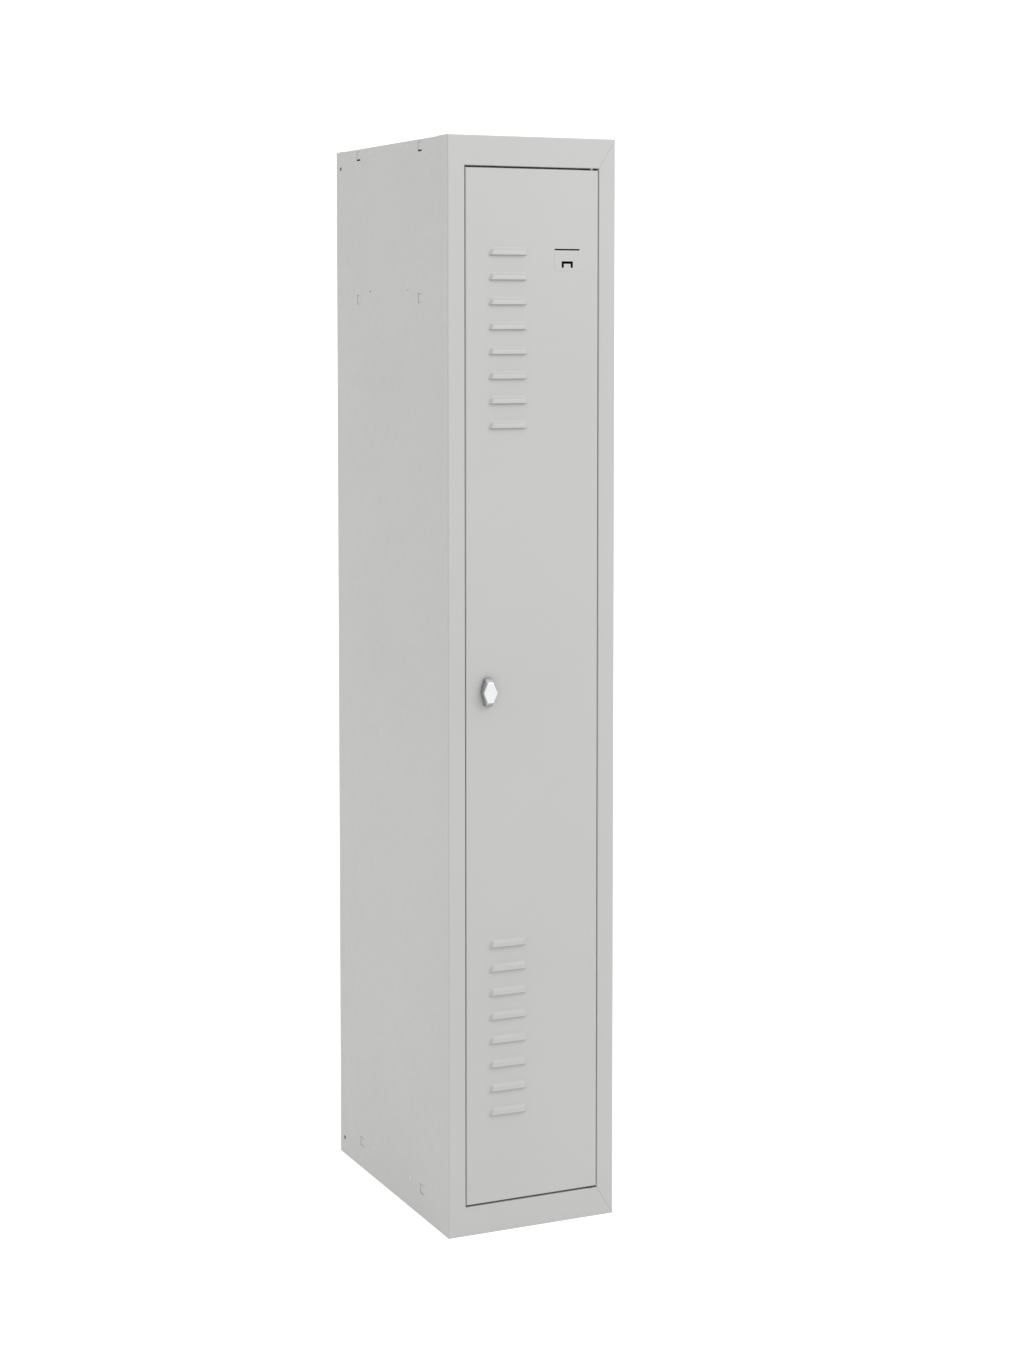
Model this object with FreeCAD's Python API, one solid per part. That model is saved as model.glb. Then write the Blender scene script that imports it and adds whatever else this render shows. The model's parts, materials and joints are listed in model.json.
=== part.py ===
"""Steel locker cabinet, 1800 x 300 x 500 mm: welded sheet carcass, one louvred door, turning latch,
hat shelf and coat rail with sliding hooks.

Millimetres. X is to the right, Y runs from the front of the cabinet to its back, Z is up. The origin is
at the centre of the cabinet's footprint. Depths called "depth" are counted from the front face.
"""

import FreeCAD, Part
import math
import os

Vector = FreeCAD.Vector

# ---- Driving dimensions -------------------------------------------------------------------------
HEIGHT = 1800.0
WIDTH = 300.0
DEPTH = 500.0
SHEET = 0.8                 # all folded sheet
BEND = 2.0                  # outside radius of a fold
FIT = 0.1                   # gap between two sheets that lie side by side

STILE = 30.0                # width of the front frame's uprights
RAIL = 48.5                 # height of the front frame's cross rails
STOP_DEPTH = 21.0           # front of the frame's stop lip
HINGE_STOP_DEPTH = 24.8     # the same on the hinge side, where the door's rear corner swings past
STOP_WIDTH = 14.0
STOP_RISE = 11.5            # how far the rails' lips stand into the opening
MITRE_GAP = 0.25
RAIL_FLANGE_DEPTH = 44.0    # how far the cross rails' flanges reach back
REAR_FLANGE = 20.8          # width of the side sheets' rear folds
BACK_FLANGE_DEPTH = 471.0   # front edge of the back panel's top fold

DOOR_SIDE_GAP = 1.2
DOOR_END_GAP = 3.0
DOOR_DEPTH = 18.0
DOOR_LIP = 12.0

FLOOR_LEVEL = 60.0          # top surface of the floor pan
SHELF_LEVEL = 1560.0        # top surface of the hat shelf
PAN_FLANGE = 17.0           # side flanges of the top pan
FLOOR_FLANGE = 21.0         # side flanges of the floor pan
PAN_FRONT = 21.9            # depth of the floor pan's front edge
TOP_FRONT = 3.0
SHELF_FRONT = 28.0
SHELF_FLANGE = 30.0
SHELF_NOSE_TALL = 24.6      # the shelf's folded front edge
SHELF_NOSE_DEEP = 10.0

HINGE_X = 108.3
HINGE_DEPTH = 5.0
HINGE_PIN_R = 2.5
RUNNING_GAP = 0.06          # radial clearance of a turning fit

LATCH_X = -81.0
LATCH_Z = 900.0

RAIL_DEPTH = 263.0          # centre line of the coat rail
RAIL_Z = 1490.0
RAIL_WIDE = 15.0
RAIL_TALL = 30.0
RAIL_WALL = 1.2
HOOK_PLACES = (-60.0, 0.0, 60.0)

LOUVRES_PER_GROUP = 8
LOUVRE_PITCH = 40.0
LOUVRE_GROUP_TOPS = (1609.5, 478.0)     # lower edge of the uppermost louvre of each group
LOUVRE_X = (-79.0, -9.0)
LOUVRE_TALL = 12.0
LOUVRE_PROUD = 4.5
LOUVRE_SLANT = 5.0

WINDOW = 16.0               # square location windows in the side panels
WINDOW_DEPTHS = (115.0, 391.0)
LUG_DEPTHS = (-7.6, 7.0)    # front and rear of a lug, from the middle of its window
LUG_TALL = 12.0
LUG_PROUD = 0.6
RIVET_DEPTHS = (168.5, 337.5)
RIVET_R = 2.45
RIVET_HOLE_R = 2.55
RIVET_SWELLING = 0.9        # how much wider a set rivet is behind the sheets
RIVET_TAIL = 1.6
MANDREL_HOLE_R = 1.0
LINK_HOLE_R = 3.5
LINK_DEPTH = 477.5
LINK_MARGIN = 30.0          # link hole to the cabinet's top or bottom
BACK_RIVET_X = 140.0
BACK_RIVET_MARGIN = 90.0
BACK_RIVETS_PER_SIDE = 5

# ---- Worked out from them ------------------------------------------------------------------------
HALF = WIDTH / 2
FRONT = -DEPTH / 2
OPENING = HALF - STILE      # half the door opening's width
PANEL_TOP = HEIGHT - SHEET  # the side panels end under the header's and back panel's flanges
INNER = HALF - SHEET - FIT  # half the width of what stands between the side panels
BACK_DEPTH = DEPTH - 2 * SHEET      # the back panel's inner face
PAN_BACK = BACK_DEPTH - BEND
DOOR_HALF = OPENING - DOOR_SIDE_GAP
DOOR_LOW = RAIL + DOOR_END_GAP
DOOR_HIGH = HEIGHT - RAIL - DOOR_END_GAP


def at(x, depth, z):
    return Vector(x, FRONT + depth, z)


def block(x_range, depth_range, z_range):
    """A box between the given low and high values of X, depth and Z."""
    (x0, x1), (d0, d1), (z0, z1) = x_range, depth_range, z_range
    return Part.makeBox(x1 - x0, d1 - d0, z1 - z0, at(x0, d0, z0))


def prism(points, direction):
    """A straight prism on a closed polygon of points."""
    return Part.Face(Part.makePolygon(list(points) + [points[0]])).extrude(direction)


def rod(centre, direction, radius, length):
    return Part.makeCylinder(radius, length, centre, direction)


def ring(centre, direction, radius, bore, length):
    return rod(centre, direction, radius, length).cut(rod(centre, direction, bore, length))


def mirrored(shape):
    return shape.mirror(Vector(0, 0, 0), Vector(1, 0, 0))


def left_normal(direction):
    return (-direction[1], direction[0])


def bent_sheet(middle, place, extrusion):
    """A folded sheet. middle is the polyline of its middle layer in two coordinates, place turns two
    coordinates into a point, and every corner becomes a fold of outside radius BEND."""
    bend = BEND - SHEET / 2
    runs = []
    for a, b in zip(middle, middle[1:]):
        length = math.dist(a, b)
        runs.append(((b[0] - a[0]) / length, (b[1] - a[1]) / length))
    edges = []
    ends = []
    for side in (SHEET / 2, -SHEET / 2):
        start = offset(middle[0], left_normal(runs[0]), side)
        first = start
        for i, corner in enumerate(middle[1:-1]):
            before, after = runs[i], runs[i + 1]
            turn = before[0] * after[1] - before[1] * after[0]
            hand = math.copysign(1.0, turn)
            back = bend * math.tan(abs(math.asin(turn)) / 2)
            centre = offset(offset(corner, before, -back), left_normal(before), hand * bend)
            into = offset(offset(corner, before, -back), left_normal(before), side)
            out = offset(offset(corner, after, back), left_normal(after), side)
            reach = math.dist(centre, corner)
            radius = bend - hand * side
            crown = (
                centre[0] + (corner[0] - centre[0]) * radius / reach,
                centre[1] + (corner[1] - centre[1]) * radius / reach,
            )
            edges.append(Part.LineSegment(place(*start), place(*into)).toShape())
            edges.append(Part.Arc(place(*into), place(*crown), place(*out)).toShape())
            start = out
        last = offset(middle[-1], left_normal(runs[-1]), side)
        edges.append(Part.LineSegment(place(*start), place(*last)).toShape())
        ends.append((first, last))
    for a, b in zip(*ends):
        edges.append(Part.LineSegment(place(*a), place(*b)).toShape())
    outline = Part.Wire(Part.__sortEdges__(edges))
    return Part.Face(outline).extrude(extrusion)


def offset(point, direction, distance):
    return (point[0] + direction[0] * distance, point[1] + direction[1] * distance)


def obround(width, height, centre, length):
    """A solid along +X with an upright obround section, starting at centre."""
    radius = width / 2
    reach = height / 2 - radius
    body = Part.makeBox(length, width, 2 * reach, centre - Vector(0, radius, reach))
    for side in (reach, -reach):
        body = body.fuse(rod(centre + Vector(0, 0, side), Vector(1, 0, 0), radius, length))
    return body.removeSplitter()


def blind_rivet(base, direction, grip):
    """A rivet flush with the sheet at base, that grips the given thickness and swells behind it."""
    shank = rod(base, direction, RIVET_R, grip)
    swelling = rod(base + direction * grip, direction, RIVET_R + RIVET_SWELLING, RIVET_TAIL)
    mandrel_hole = rod(base, direction, MANDREL_HOLE_R, 1.4)
    return shank.fuse(swelling).cut(mandrel_hole)


# ---- Carcass -------------------------------------------------------------------------------------
def window_heights():
    """Lower edges of the three rows of location windows: floor, shelf and top."""
    return (FLOOR_LEVEL - FLOOR_FLANGE + 0.4, SHELF_LEVEL - 28.0, PANEL_TOP - PAN_FLANGE - 2.7)


def rivet_heights():
    return (FLOOR_LEVEL - 9.0, SHELF_LEVEL - 6.4, PANEL_TOP - 8.2)


def mitre_cut(gap):
    """What is taken off a left-hand upright above the mitre joint at its upper end."""
    outer = HEIGHT - gap
    inner = HEIGHT - RAIL - gap
    corners = [
        at(-HALF - 1, -1, outer + RAIL / STILE),
        at(-OPENING + 1, -1, inner - RAIL / STILE),
        at(-OPENING + 1, -1, HEIGHT + 5),
        at(-HALF - 1, -1, HEIGHT + 5),
    ]
    return prism(corners, Vector(0, 1 + BEND, 0))


def flipped(shape):
    """The same shape turned upside down within the cabinet's height."""
    return shape.mirror(Vector(0, 0, HEIGHT / 2), Vector(0, 0, 1))


def side_sheet(stop_depth):
    """The left-hand side's folded sheet: web, front upright, return and stop lip."""
    skin = SHEET / 2
    section = [
        (-OPENING + STOP_WIDTH, stop_depth + skin),
        (-OPENING - skin, stop_depth + skin),
        (-OPENING - skin, skin),
        (-HALF + skin, skin),
        (-HALF + skin, DEPTH - skin),
        (-HALF + REAR_FLANGE, DEPTH - skin),
    ]
    panel = bent_sheet(section, lambda x, depth: at(x, depth, 0), Vector(0, 0, PANEL_TOP))
    for end in (mitre_cut(MITRE_GAP), flipped(mitre_cut(MITRE_GAP))):
        panel = panel.cut(end)
    inner = (-OPENING - BEND, -OPENING + STOP_WIDTH + 1)
    lip_end = RAIL if stop_depth < PAN_FRONT else FLOOR_LEVEL       # a deeper lip stops above the floor pan
    ends = [
        block(inner, (BEND, stop_depth + BEND), (-1, RAIL)),
        block(inner, (STOP_DEPTH - BEND, stop_depth + BEND), (-1, lip_end + FIT)),
    ]
    panel = panel.cut(ends).cut([flipped(end) for end in ends])
    half = WINDOW / 2
    web = (-HALF - 1, -HALF + BEND)
    for depth in WINDOW_DEPTHS:
        for z in window_heights():
            panel = panel.cut(block(web, (depth - half, depth + half), (z, z + WINDOW)))
    for depth in RIVET_DEPTHS:
        for z in rivet_heights():
            panel = panel.cut(rod(at(-HALF - 1, depth, z), Vector(1, 0, 0), RIVET_HOLE_R, 3))
    for z in (LINK_MARGIN, HEIGHT - LINK_MARGIN):
        panel = panel.cut(rod(at(-HALF - 1, LINK_DEPTH, z), Vector(1, 0, 0), LINK_HOLE_R, 3))
    for z in back_rivet_heights():
        panel = panel.cut(rod(at(-BACK_RIVET_X, DEPTH - 3, z), Vector(0, 1, 0), RIVET_HOLE_R, 4))
    return panel


def back_rivet_heights():
    span = HEIGHT - 2 * BACK_RIVET_MARGIN
    return [BACK_RIVET_MARGIN + span * i / (BACK_RIVETS_PER_SIDE - 1) for i in range(BACK_RIVETS_PER_SIDE)]


def side_nodes(stop_depth):
    """The side sheet as three nodes that meet at its folds: upright, flat side and rear flange."""
    sheet = side_sheet(stop_depth)
    across = (-HALF - 1, -HALF + REAR_FLANGE + 1)
    upward = (-1, HEIGHT + 1)
    flat = block(across, (BEND, DEPTH - BEND), upward)
    rear = block(across, (DEPTH - BEND, DEPTH + 1), upward)
    return sheet.cut([flat, rear]), sheet.common(flat), sheet.common(rear)


def header_rail():
    """The front frame's upper rail: top flange, mitred front, return and stop lip."""
    skin = SHEET / 2
    section = [
        (STOP_DEPTH + skin, HEIGHT - RAIL - STOP_RISE),
        (STOP_DEPTH + skin, HEIGHT - RAIL + skin),
        (skin, HEIGHT - RAIL + skin),
        (skin, HEIGHT - skin),
        (RAIL_FLANGE_DEPTH, HEIGHT - skin),
    ]
    rail = bent_sheet(section, lambda depth, z: at(-HALF, depth, z), Vector(WIDTH, 0, 0))
    return trimmed_rail(rail)


def trimmed_rail(rail):
    """Mitres a rail's front, and shortens its return and lip to fit between the uprights."""
    upright = prism(
        [
            at(-HALF - 1, -1, HEIGHT + RAIL / STILE),
            at(-OPENING + 1, -1, HEIGHT - RAIL - RAIL / STILE),
            at(-HALF - 1, -1, HEIGHT - RAIL - RAIL / STILE),
        ],
        Vector(0, 1 + BEND, 0),
    )
    low = HEIGHT - RAIL - 20
    lip = (low, HEIGHT - RAIL)
    lip_and_fold = (low, HEIGHT - RAIL + BEND)
    behind = block((-HALF - 1, -OPENING + FIT), (BEND, 30), lip_and_fold)
    fold = block((-OPENING, -OPENING + BEND), (STOP_DEPTH - BEND, 30), lip_and_fold)
    closing_side = block((-OPENING, -OPENING + STOP_WIDTH + 2), (STOP_DEPTH - FIT, 30), lip)
    hinge_side = block((OPENING - 24, OPENING), (STOP_DEPTH - FIT, 30), lip)
    for waste in (upright, behind, fold):
        rail = rail.cut([waste, mirrored(waste)])
    rail = rail.cut([closing_side, hinge_side])
    pin_hole_r = HINGE_PIN_R + 0.05
    return rail.cut(rod(at(HINGE_X, HINGE_DEPTH, HEIGHT - RAIL - 1), Vector(0, 0, 1), pin_hole_r, 3))


def plinth_rail():
    """The lower rail is the header turned over, but its bottom flange lies between the side panels."""
    rail = flipped(header_rail())
    for x_range in ((-HALF - 1, -INNER), (INNER, HALF + 1)):
        rail = rail.cut(block(x_range, (-1, 50), (-1, BEND)))
    return rail


def pan(level, flange, front):
    """A tray open below: a flat web with its top at level, and a flange down each side."""
    skin = SHEET / 2
    edge = 2 * BEND
    web = block((-INNER + edge, INNER - edge), (front, PAN_BACK), (level - SHEET, level))
    length = PAN_BACK - front
    section = [
        (-INNER + skin, level - flange),
        (-INNER + skin, level - skin),
        (-INNER + edge, level - skin),
    ]
    side = bent_sheet(section, lambda x, z: at(x, front, z), Vector(0, length, 0))
    wall = (-INNER - 1, -INNER + SHEET + FIT)
    relief = block(wall, (PAN_BACK - 10, PAN_BACK + 1), (level - flange - 1, level - BEND))
    side = side.cut(relief)
    return web.fuse([side, mirrored(side)]).removeSplitter()


def riveted(tray, z):
    """Drills a tray's side flanges for the rivets at height z."""
    for depth in RIVET_DEPTHS:
        tray = tray.cut(rod(at(-HALF, depth, z), Vector(1, 0, 0), RIVET_HOLE_R, WIDTH))
    return tray


def lugged(tray, window_z):
    """Adds the raised lugs that locate a tray in the side panels' windows."""
    low, high = LUG_DEPTHS
    for depth in WINDOW_DEPTHS:
        across = (-INNER - LUG_PROUD, -INNER + SHEET / 2)
        lug = block(across, (depth + low, depth + high), (window_z, window_z + LUG_TALL))
        tray = tray.fuse([lug, mirrored(lug)])
    return tray.removeSplitter()


def floor_panel():
    tray = pan(FLOOR_LEVEL, FLOOR_FLANGE, PAN_FRONT)
    tray = lugged(tray, window_heights()[0] + 2.4)
    return riveted(tray, rivet_heights()[0])


def top_panel():
    tray = pan(PANEL_TOP, PAN_FLANGE, TOP_FRONT)
    tray = lugged(tray, window_heights()[2] + 3.2)
    return riveted(tray, rivet_heights()[2])


def hat_shelf():
    """The hat shelf: a tray with a folded front edge."""
    tray = pan(SHELF_LEVEL, SHELF_FLANGE, SHELF_FRONT)
    skin = SHEET / 2
    nose_low = SHELF_LEVEL - SHELF_NOSE_TALL
    section = [
        (SHELF_FRONT + SHELF_NOSE_DEEP, nose_low),
        (SHELF_FRONT + skin, nose_low),
        (SHELF_FRONT + skin, SHELF_LEVEL - skin),
        (SHELF_FRONT + 2 * BEND, SHELF_LEVEL - skin),
    ]
    reach = INNER - BEND
    nose = bent_sheet(section, lambda depth, z: at(-reach, depth, z), Vector(2 * reach, 0, 0))
    edge = (SHELF_FRONT - 1, SHELF_FRONT + BEND)
    corner = block((-reach, reach), edge, (SHELF_LEVEL - BEND, SHELF_LEVEL + 1))
    end = block((-INNER - 1, -reach), edge, (SHELF_LEVEL - SHELF_FLANGE - 1, SHELF_LEVEL + 1))
    tray = tray.cut([corner, end, mirrored(end)]).fuse(nose)
    tray = lugged(tray, window_heights()[1] + 1.6)
    tray = riveted(tray, rivet_heights()[1])
    for x, depth in bracket_rivet_places():
        tray = tray.cut(rod(at(x, depth, SHELF_LEVEL - 3), Vector(0, 0, 1), RIVET_HOLE_R, 5))
    return tray


def back_panel():
    """The back: a flat sheet whose top edge is folded forward over the side panels."""
    skin = SHEET / 2
    section = [
        (BACK_DEPTH + skin, 0.0),
        (BACK_DEPTH + skin, HEIGHT - skin),
        (BACK_FLANGE_DEPTH, HEIGHT - skin),
    ]
    sheet = bent_sheet(section, lambda depth, z: at(-HALF, depth, z), Vector(WIDTH, 0, 0))
    clear_of_flange = BACK_DEPTH - 14
    edge = block((-HALF - 1, -INNER + BEND - SHEET), (clear_of_flange, DEPTH + 1), (-1, HEIGHT + 1))
    notch = block((-HALF - 1, -HALF + REAR_FLANGE), (clear_of_flange, PAN_BACK), (PANEL_TOP - 1, HEIGHT + 1))
    holes = [rod(at(-BACK_RIVET_X, 490, z), Vector(0, 1, 0), RIVET_HOLE_R, 12) for z in back_rivet_heights()]
    for waste in [edge, notch] + holes:
        sheet = sheet.cut([waste, mirrored(waste)])
    return sheet


def panel_rivets():
    """Rivets that hold the floor, shelf and top to the side panels."""
    rivets = []
    for depth in RIVET_DEPTHS:
        for z in rivet_heights():
            rivets.append(blind_rivet(at(-HALF, depth, z), Vector(1, 0, 0), 2 * SHEET + FIT))
    return Part.makeCompound(rivets + [mirrored(r) for r in rivets])


def back_rivets():
    rivets = []
    for z in back_rivet_heights():
        rivets.append(blind_rivet(at(-BACK_RIVET_X, DEPTH, z), Vector(0, -1, 0), 2 * SHEET))
    return Part.makeCompound(rivets + [mirrored(r) for r in rivets])


# ---- Coat rail and hooks -------------------------------------------------------------------------
BRACKET_SHEET = 2.0
BRACKET_WIDE = 40.0
BRACKET_X = 138.0
BRACKET_FLANGE = 26.0
SOCKET_LENGTH = 12.0
SOCKET_WALL = 1.5


def coat_rail():
    end = BRACKET_X - BRACKET_SHEET - FIT
    start = at(-end, RAIL_DEPTH, RAIL_Z)
    outside = obround(RAIL_WIDE, RAIL_TALL, start, 2 * end)
    inside = obround(RAIL_WIDE - 2 * RAIL_WALL, RAIL_TALL - 2 * RAIL_WALL, start, 2 * end)
    return outside.cut(inside)


def bracket_rivet_places():
    return [(sign * 122.0, RAIL_DEPTH + side) for sign in (-1, 1) for side in (-12.0, 12.0)]


def rail_bracket():
    """The left-hand rail bracket: a plate under the shelf that turns down and carries a socket."""
    half = BRACKET_WIDE / 2
    top = SHELF_LEVEL - SHEET
    sides = (RAIL_DEPTH - half, RAIL_DEPTH + half)
    hanger = block((-BRACKET_X, -BRACKET_X + BRACKET_SHEET), sides, (RAIL_Z, top))
    foot = rod(at(-BRACKET_X, RAIL_DEPTH, RAIL_Z), Vector(1, 0, 0), half, BRACKET_SHEET)
    flange = block((-BRACKET_X, -BRACKET_X + BRACKET_FLANGE), sides, (top - BRACKET_SHEET, top))
    start = at(-BRACKET_X, RAIL_DEPTH, RAIL_Z)
    seat_start = start + Vector(BRACKET_SHEET, 0, 0)
    seat_wide = RAIL_WIDE + 2 * FIT
    seat_tall = RAIL_TALL + 2 * FIT
    seat = obround(seat_wide, seat_tall, seat_start, SOCKET_LENGTH)
    socket = obround(seat_wide + 2 * SOCKET_WALL, seat_tall + 2 * SOCKET_WALL, start, SOCKET_LENGTH)
    bracket = hanger.fuse([foot, flange, socket]).cut(seat).removeSplitter()
    for x, depth in bracket_rivet_places():
        bracket = bracket.cut(rod(at(x, depth, top - 3), Vector(0, 0, 1), RIVET_HOLE_R, 5))
    return bracket


def bracket_rivets():
    grip = SHEET + BRACKET_SHEET
    return Part.makeCompound(
        [blind_rivet(at(x, d, SHELF_LEVEL), Vector(0, 0, -1), grip) for x, d in bracket_rivet_places()]
    )


HOOK_THICK = 8.0
HOOK_COLLAR = 12.0
HOOK_OUTER = 22.0
HOOK_INNER = 15.0
HOOK_CENTRE_Z = 1440.0
HOOK_CLEARANCE = 0.8
HOOK_WALL = 3.0


def coat_hook(x):
    """A double hook that hangs from a collar sliding on the rail."""
    start = at(x - HOOK_COLLAR / 2, RAIL_DEPTH, RAIL_Z)
    wide = RAIL_WIDE + HOOK_CLEARANCE
    tall = RAIL_TALL + HOOK_CLEARANCE
    collar = obround(wide + 2 * HOOK_WALL, tall + 2 * HOOK_WALL, start, HOOK_COLLAR)
    passage = obround(wide, tall, start, HOOK_COLLAR)
    thick = (x - HOOK_THICK / 2, x + HOOK_THICK / 2)
    face = at(thick[0], RAIL_DEPTH, HOOK_CENTRE_Z)
    horns = ring(face, Vector(1, 0, 0), HOOK_OUTER, HOOK_INNER, HOOK_THICK)
    upper = block(thick, (RAIL_DEPTH - 30, RAIL_DEPTH + 30), (HOOK_CENTRE_Z, HOOK_CENTRE_Z + 30))
    horns = horns.cut(upper)
    middle = (HOOK_OUTER + HOOK_INNER) / 2
    tip_r = (HOOK_OUTER - HOOK_INNER) / 2
    tips = [rod(face + Vector(0, side, 0), Vector(1, 0, 0), tip_r, HOOK_THICK) for side in (-middle, middle)]
    low = HOOK_CENTRE_Z - middle
    high = RAIL_Z - RAIL_TALL / 2 - HOOK_WALL / 2
    stem = block(thick, (RAIL_DEPTH - 3.5, RAIL_DEPTH + 3.5), (low, high))
    return collar.fuse([horns, stem] + tips).cut(passage).removeSplitter()


# ---- Hinges and stops ----------------------------------------------------------------------------
PIN_REACH = 12.0            # how far a hinge pin stands into the door
PIN_HEAD = 1.2
BUSH_R = 3.5
BUSH_FLANGE_R = 4.5
BUSH_FLANGE = 1.0
BUSH_LENGTH = 8.0
BUFFER_R = 5.0
BUFFER_TALL = 2.7
BUFFER_HEIGHTS = (300.0, 1500.0)


def upper_hinge_pin():
    """Headed pin riveted down through the header's return."""
    seat = HEIGHT - RAIL
    low = at(HINGE_X, HINGE_DEPTH, seat - PIN_REACH)
    shank = rod(low, Vector(0, 0, 1), HINGE_PIN_R, PIN_REACH + SHEET)
    head = rod(at(HINGE_X, HINGE_DEPTH, seat + SHEET), Vector(0, 0, 1), HINGE_DEPTH - BEND, PIN_HEAD)
    return shank.fuse(head).removeSplitter()


def lower_hinge_pin():
    return flipped(upper_hinge_pin())


def thrust_washer():
    """The washer on the lower pin that carries the door's weight."""
    bore = HINGE_PIN_R + RUNNING_GAP
    thick = DOOR_END_GAP - BUSH_FLANGE - FIT
    return ring(at(HINGE_X, HINGE_DEPTH, RAIL), Vector(0, 0, 1), BUSH_FLANGE_R, bore, thick)


def hinge_bush(level):
    """Flanged bush in the door's upper edge, its flange above the sheet at level."""
    flange = rod(at(HINGE_X, HINGE_DEPTH, level), Vector(0, 0, 1), BUSH_FLANGE_R, BUSH_FLANGE)
    barrel = rod(at(HINGE_X, HINGE_DEPTH, level - BUSH_LENGTH), Vector(0, 0, 1), BUSH_R, BUSH_LENGTH)
    bore = rod(at(HINGE_X, HINGE_DEPTH, level - 20), Vector(0, 0, 1), HINGE_PIN_R + RUNNING_GAP, 30)
    return flange.fuse(barrel).cut(bore).removeSplitter()


def door_buffers():
    """Rubber buffers on the closing upright's stop lip."""
    x = -OPENING + STOP_WIDTH / 2
    depth = STOP_DEPTH - BUFFER_TALL
    return Part.makeCompound(
        [rod(at(x, depth, z), Vector(0, 1, 0), BUFFER_R, BUFFER_TALL) for z in BUFFER_HEIGHTS]
    )


# ---- Door ----------------------------------------------------------------------------------------
LABEL_X = (38.3, 87.8)
LABEL_Z = (1584.0, 1617.2)
LABEL_RAISE = 0.5
LABEL_SLOT = ((39.6, 84.8), (1617.4, 1619.9))
LABEL_TONGUE = ((56.1, 68.4), (1589.3, 1595.7))
LABEL_TONGUE_CUT = 4.0
LABEL_RIM = 1.2
LOUVRE_SHOULDER = 4.0
STIFFENER_X = (-7.0, 31.0)
STIFFENER_FOOT = 10.0
STIFFENER_DEPTH = 15.0
STIFFENER_MARGIN = 8.5


def frustum(back, front, x_range, z_range, slant, shoulder):
    """A flat-topped boss between two depths, its ends leaning in by slant and its top by shoulder."""
    (x0, x1), (z0, z1) = x_range, z_range
    base = [at(x0, back, z0), at(x1, back, z0), at(x1, back, z1), at(x0, back, z1)]
    lead = z1 - shoulder
    face = [
        at(x0 + slant, front, z0),
        at(x1 - slant, front, z0),
        at(x1 - slant, front, lead),
        at(x0 + slant, front, lead),
    ]
    wires = [Part.makePolygon(loop + [loop[0]]) for loop in (base, face)]
    return Part.makeLoft(wires, True, True)


def louvre(z):
    """One louvre as a pair: the hood's outside, and the hollow under it that opens downwards."""
    x0, x1 = LOUVRE_X
    back, front = SHEET, -LOUVRE_PROUD
    high = z + LOUVRE_TALL
    outside = frustum(back, front, LOUVRE_X, (z, high), LOUVRE_SLANT, LOUVRE_SHOULDER)
    inner_x = (x0 + SHEET, x1 - SHEET)
    inner_z = (z - 0.01, high - SHEET)
    hollow = frustum(back + 0.01, front + SHEET, inner_x, inner_z, LOUVRE_SLANT, LOUVRE_SHOULDER)
    return outside, hollow


def louvre_heights():
    return [top - LOUVRE_PITCH * i for top in LOUVRE_GROUP_TOPS for i in range(LOUVRES_PER_GROUP)]


def door_shell():
    """The door's folded pan, with its welded corners and inward lips."""
    outer = rounded_box(0.0, BEND)
    inner = rounded_box(SHEET, BEND - SHEET)
    clear_x = DOOR_HALF - DOOR_LIP
    clear_z = (DOOR_LOW + DOOR_LIP, DOOR_HIGH - DOOR_LIP)
    rear = block((-clear_x, clear_x), (DOOR_DEPTH - 2, DOOR_DEPTH + 1), clear_z)
    return outer.cut(inner).cut(rear)


def rounded_box(inset, radius):
    """The door's box, smaller by inset on every side, with its front edges rounded."""
    half = DOOR_HALF - inset
    box = block((-half, half), (inset, DOOR_DEPTH - inset), (DOOR_LOW + inset, DOOR_HIGH - inset))
    front = FRONT + inset
    return box.makeFillet(radius, [e for e in box.Edges if all(abs(v.Y - front) < 0.01 for v in e.Vertexes)])


def door_panel():
    panel = door_shell()
    hoods = [louvre(z) for z in louvre_heights()]
    panel = panel.cut([hollow for _, hollow in hoods])
    panel = panel.fuse([outside for outside, _ in hoods]).cut([hollow for _, hollow in hoods])
    panel = panel.fuse(frustum(SHEET, -LABEL_RAISE, LABEL_X, LABEL_Z, 1.0, 1.0))
    inside_x = (LABEL_X[0] + LABEL_RIM, LABEL_X[1] - LABEL_RIM)
    inside_z = (LABEL_Z[0] + LABEL_RIM, LABEL_Z[1] - LABEL_RIM)
    panel = panel.cut(block(inside_x, (SHEET - LABEL_RAISE, SHEET + 0.01), inside_z))
    through = (-2.0, 2.0)
    panel = panel.cut(block(LABEL_SLOT[0], through, LABEL_SLOT[1]))
    tongue_x, tongue_z = LABEL_TONGUE
    around = (tongue_x[0] - LABEL_TONGUE_CUT, tongue_x[1] + LABEL_TONGUE_CUT)
    cut = block(around, through, (tongue_z[0], tongue_z[1] + LABEL_TONGUE_CUT))
    panel = panel.cut(cut.cut(block(tongue_x, through, tongue_z)))
    for z in (DOOR_LOW, DOOR_HIGH):
        panel = panel.cut(rod(at(HINGE_X, HINGE_DEPTH, z - 2), Vector(0, 0, 1), BUSH_R + 0.02, 4))
    return panel.cut(rod(at(LATCH_X, -2, LATCH_Z), Vector(0, 1, 0), HOUSING_R + 0.05, 4))


def door_stiffener():
    """Hat-shaped stiffener down the inside of the door."""
    skin = SHEET / 2
    low = SHEET + skin
    left, right = STIFFENER_X
    section = [
        (left, low),
        (left + STIFFENER_FOOT, low),
        (left + STIFFENER_FOOT, STIFFENER_DEPTH),
        (right - STIFFENER_FOOT, STIFFENER_DEPTH),
        (right - STIFFENER_FOOT, low),
        (right, low),
    ]
    length = Vector(0, 0, DOOR_HIGH - DOOR_LOW - 2 * STIFFENER_MARGIN)
    return bent_sheet(section, lambda x, depth: at(x, depth, DOOR_LOW + STIFFENER_MARGIN), length)


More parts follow.
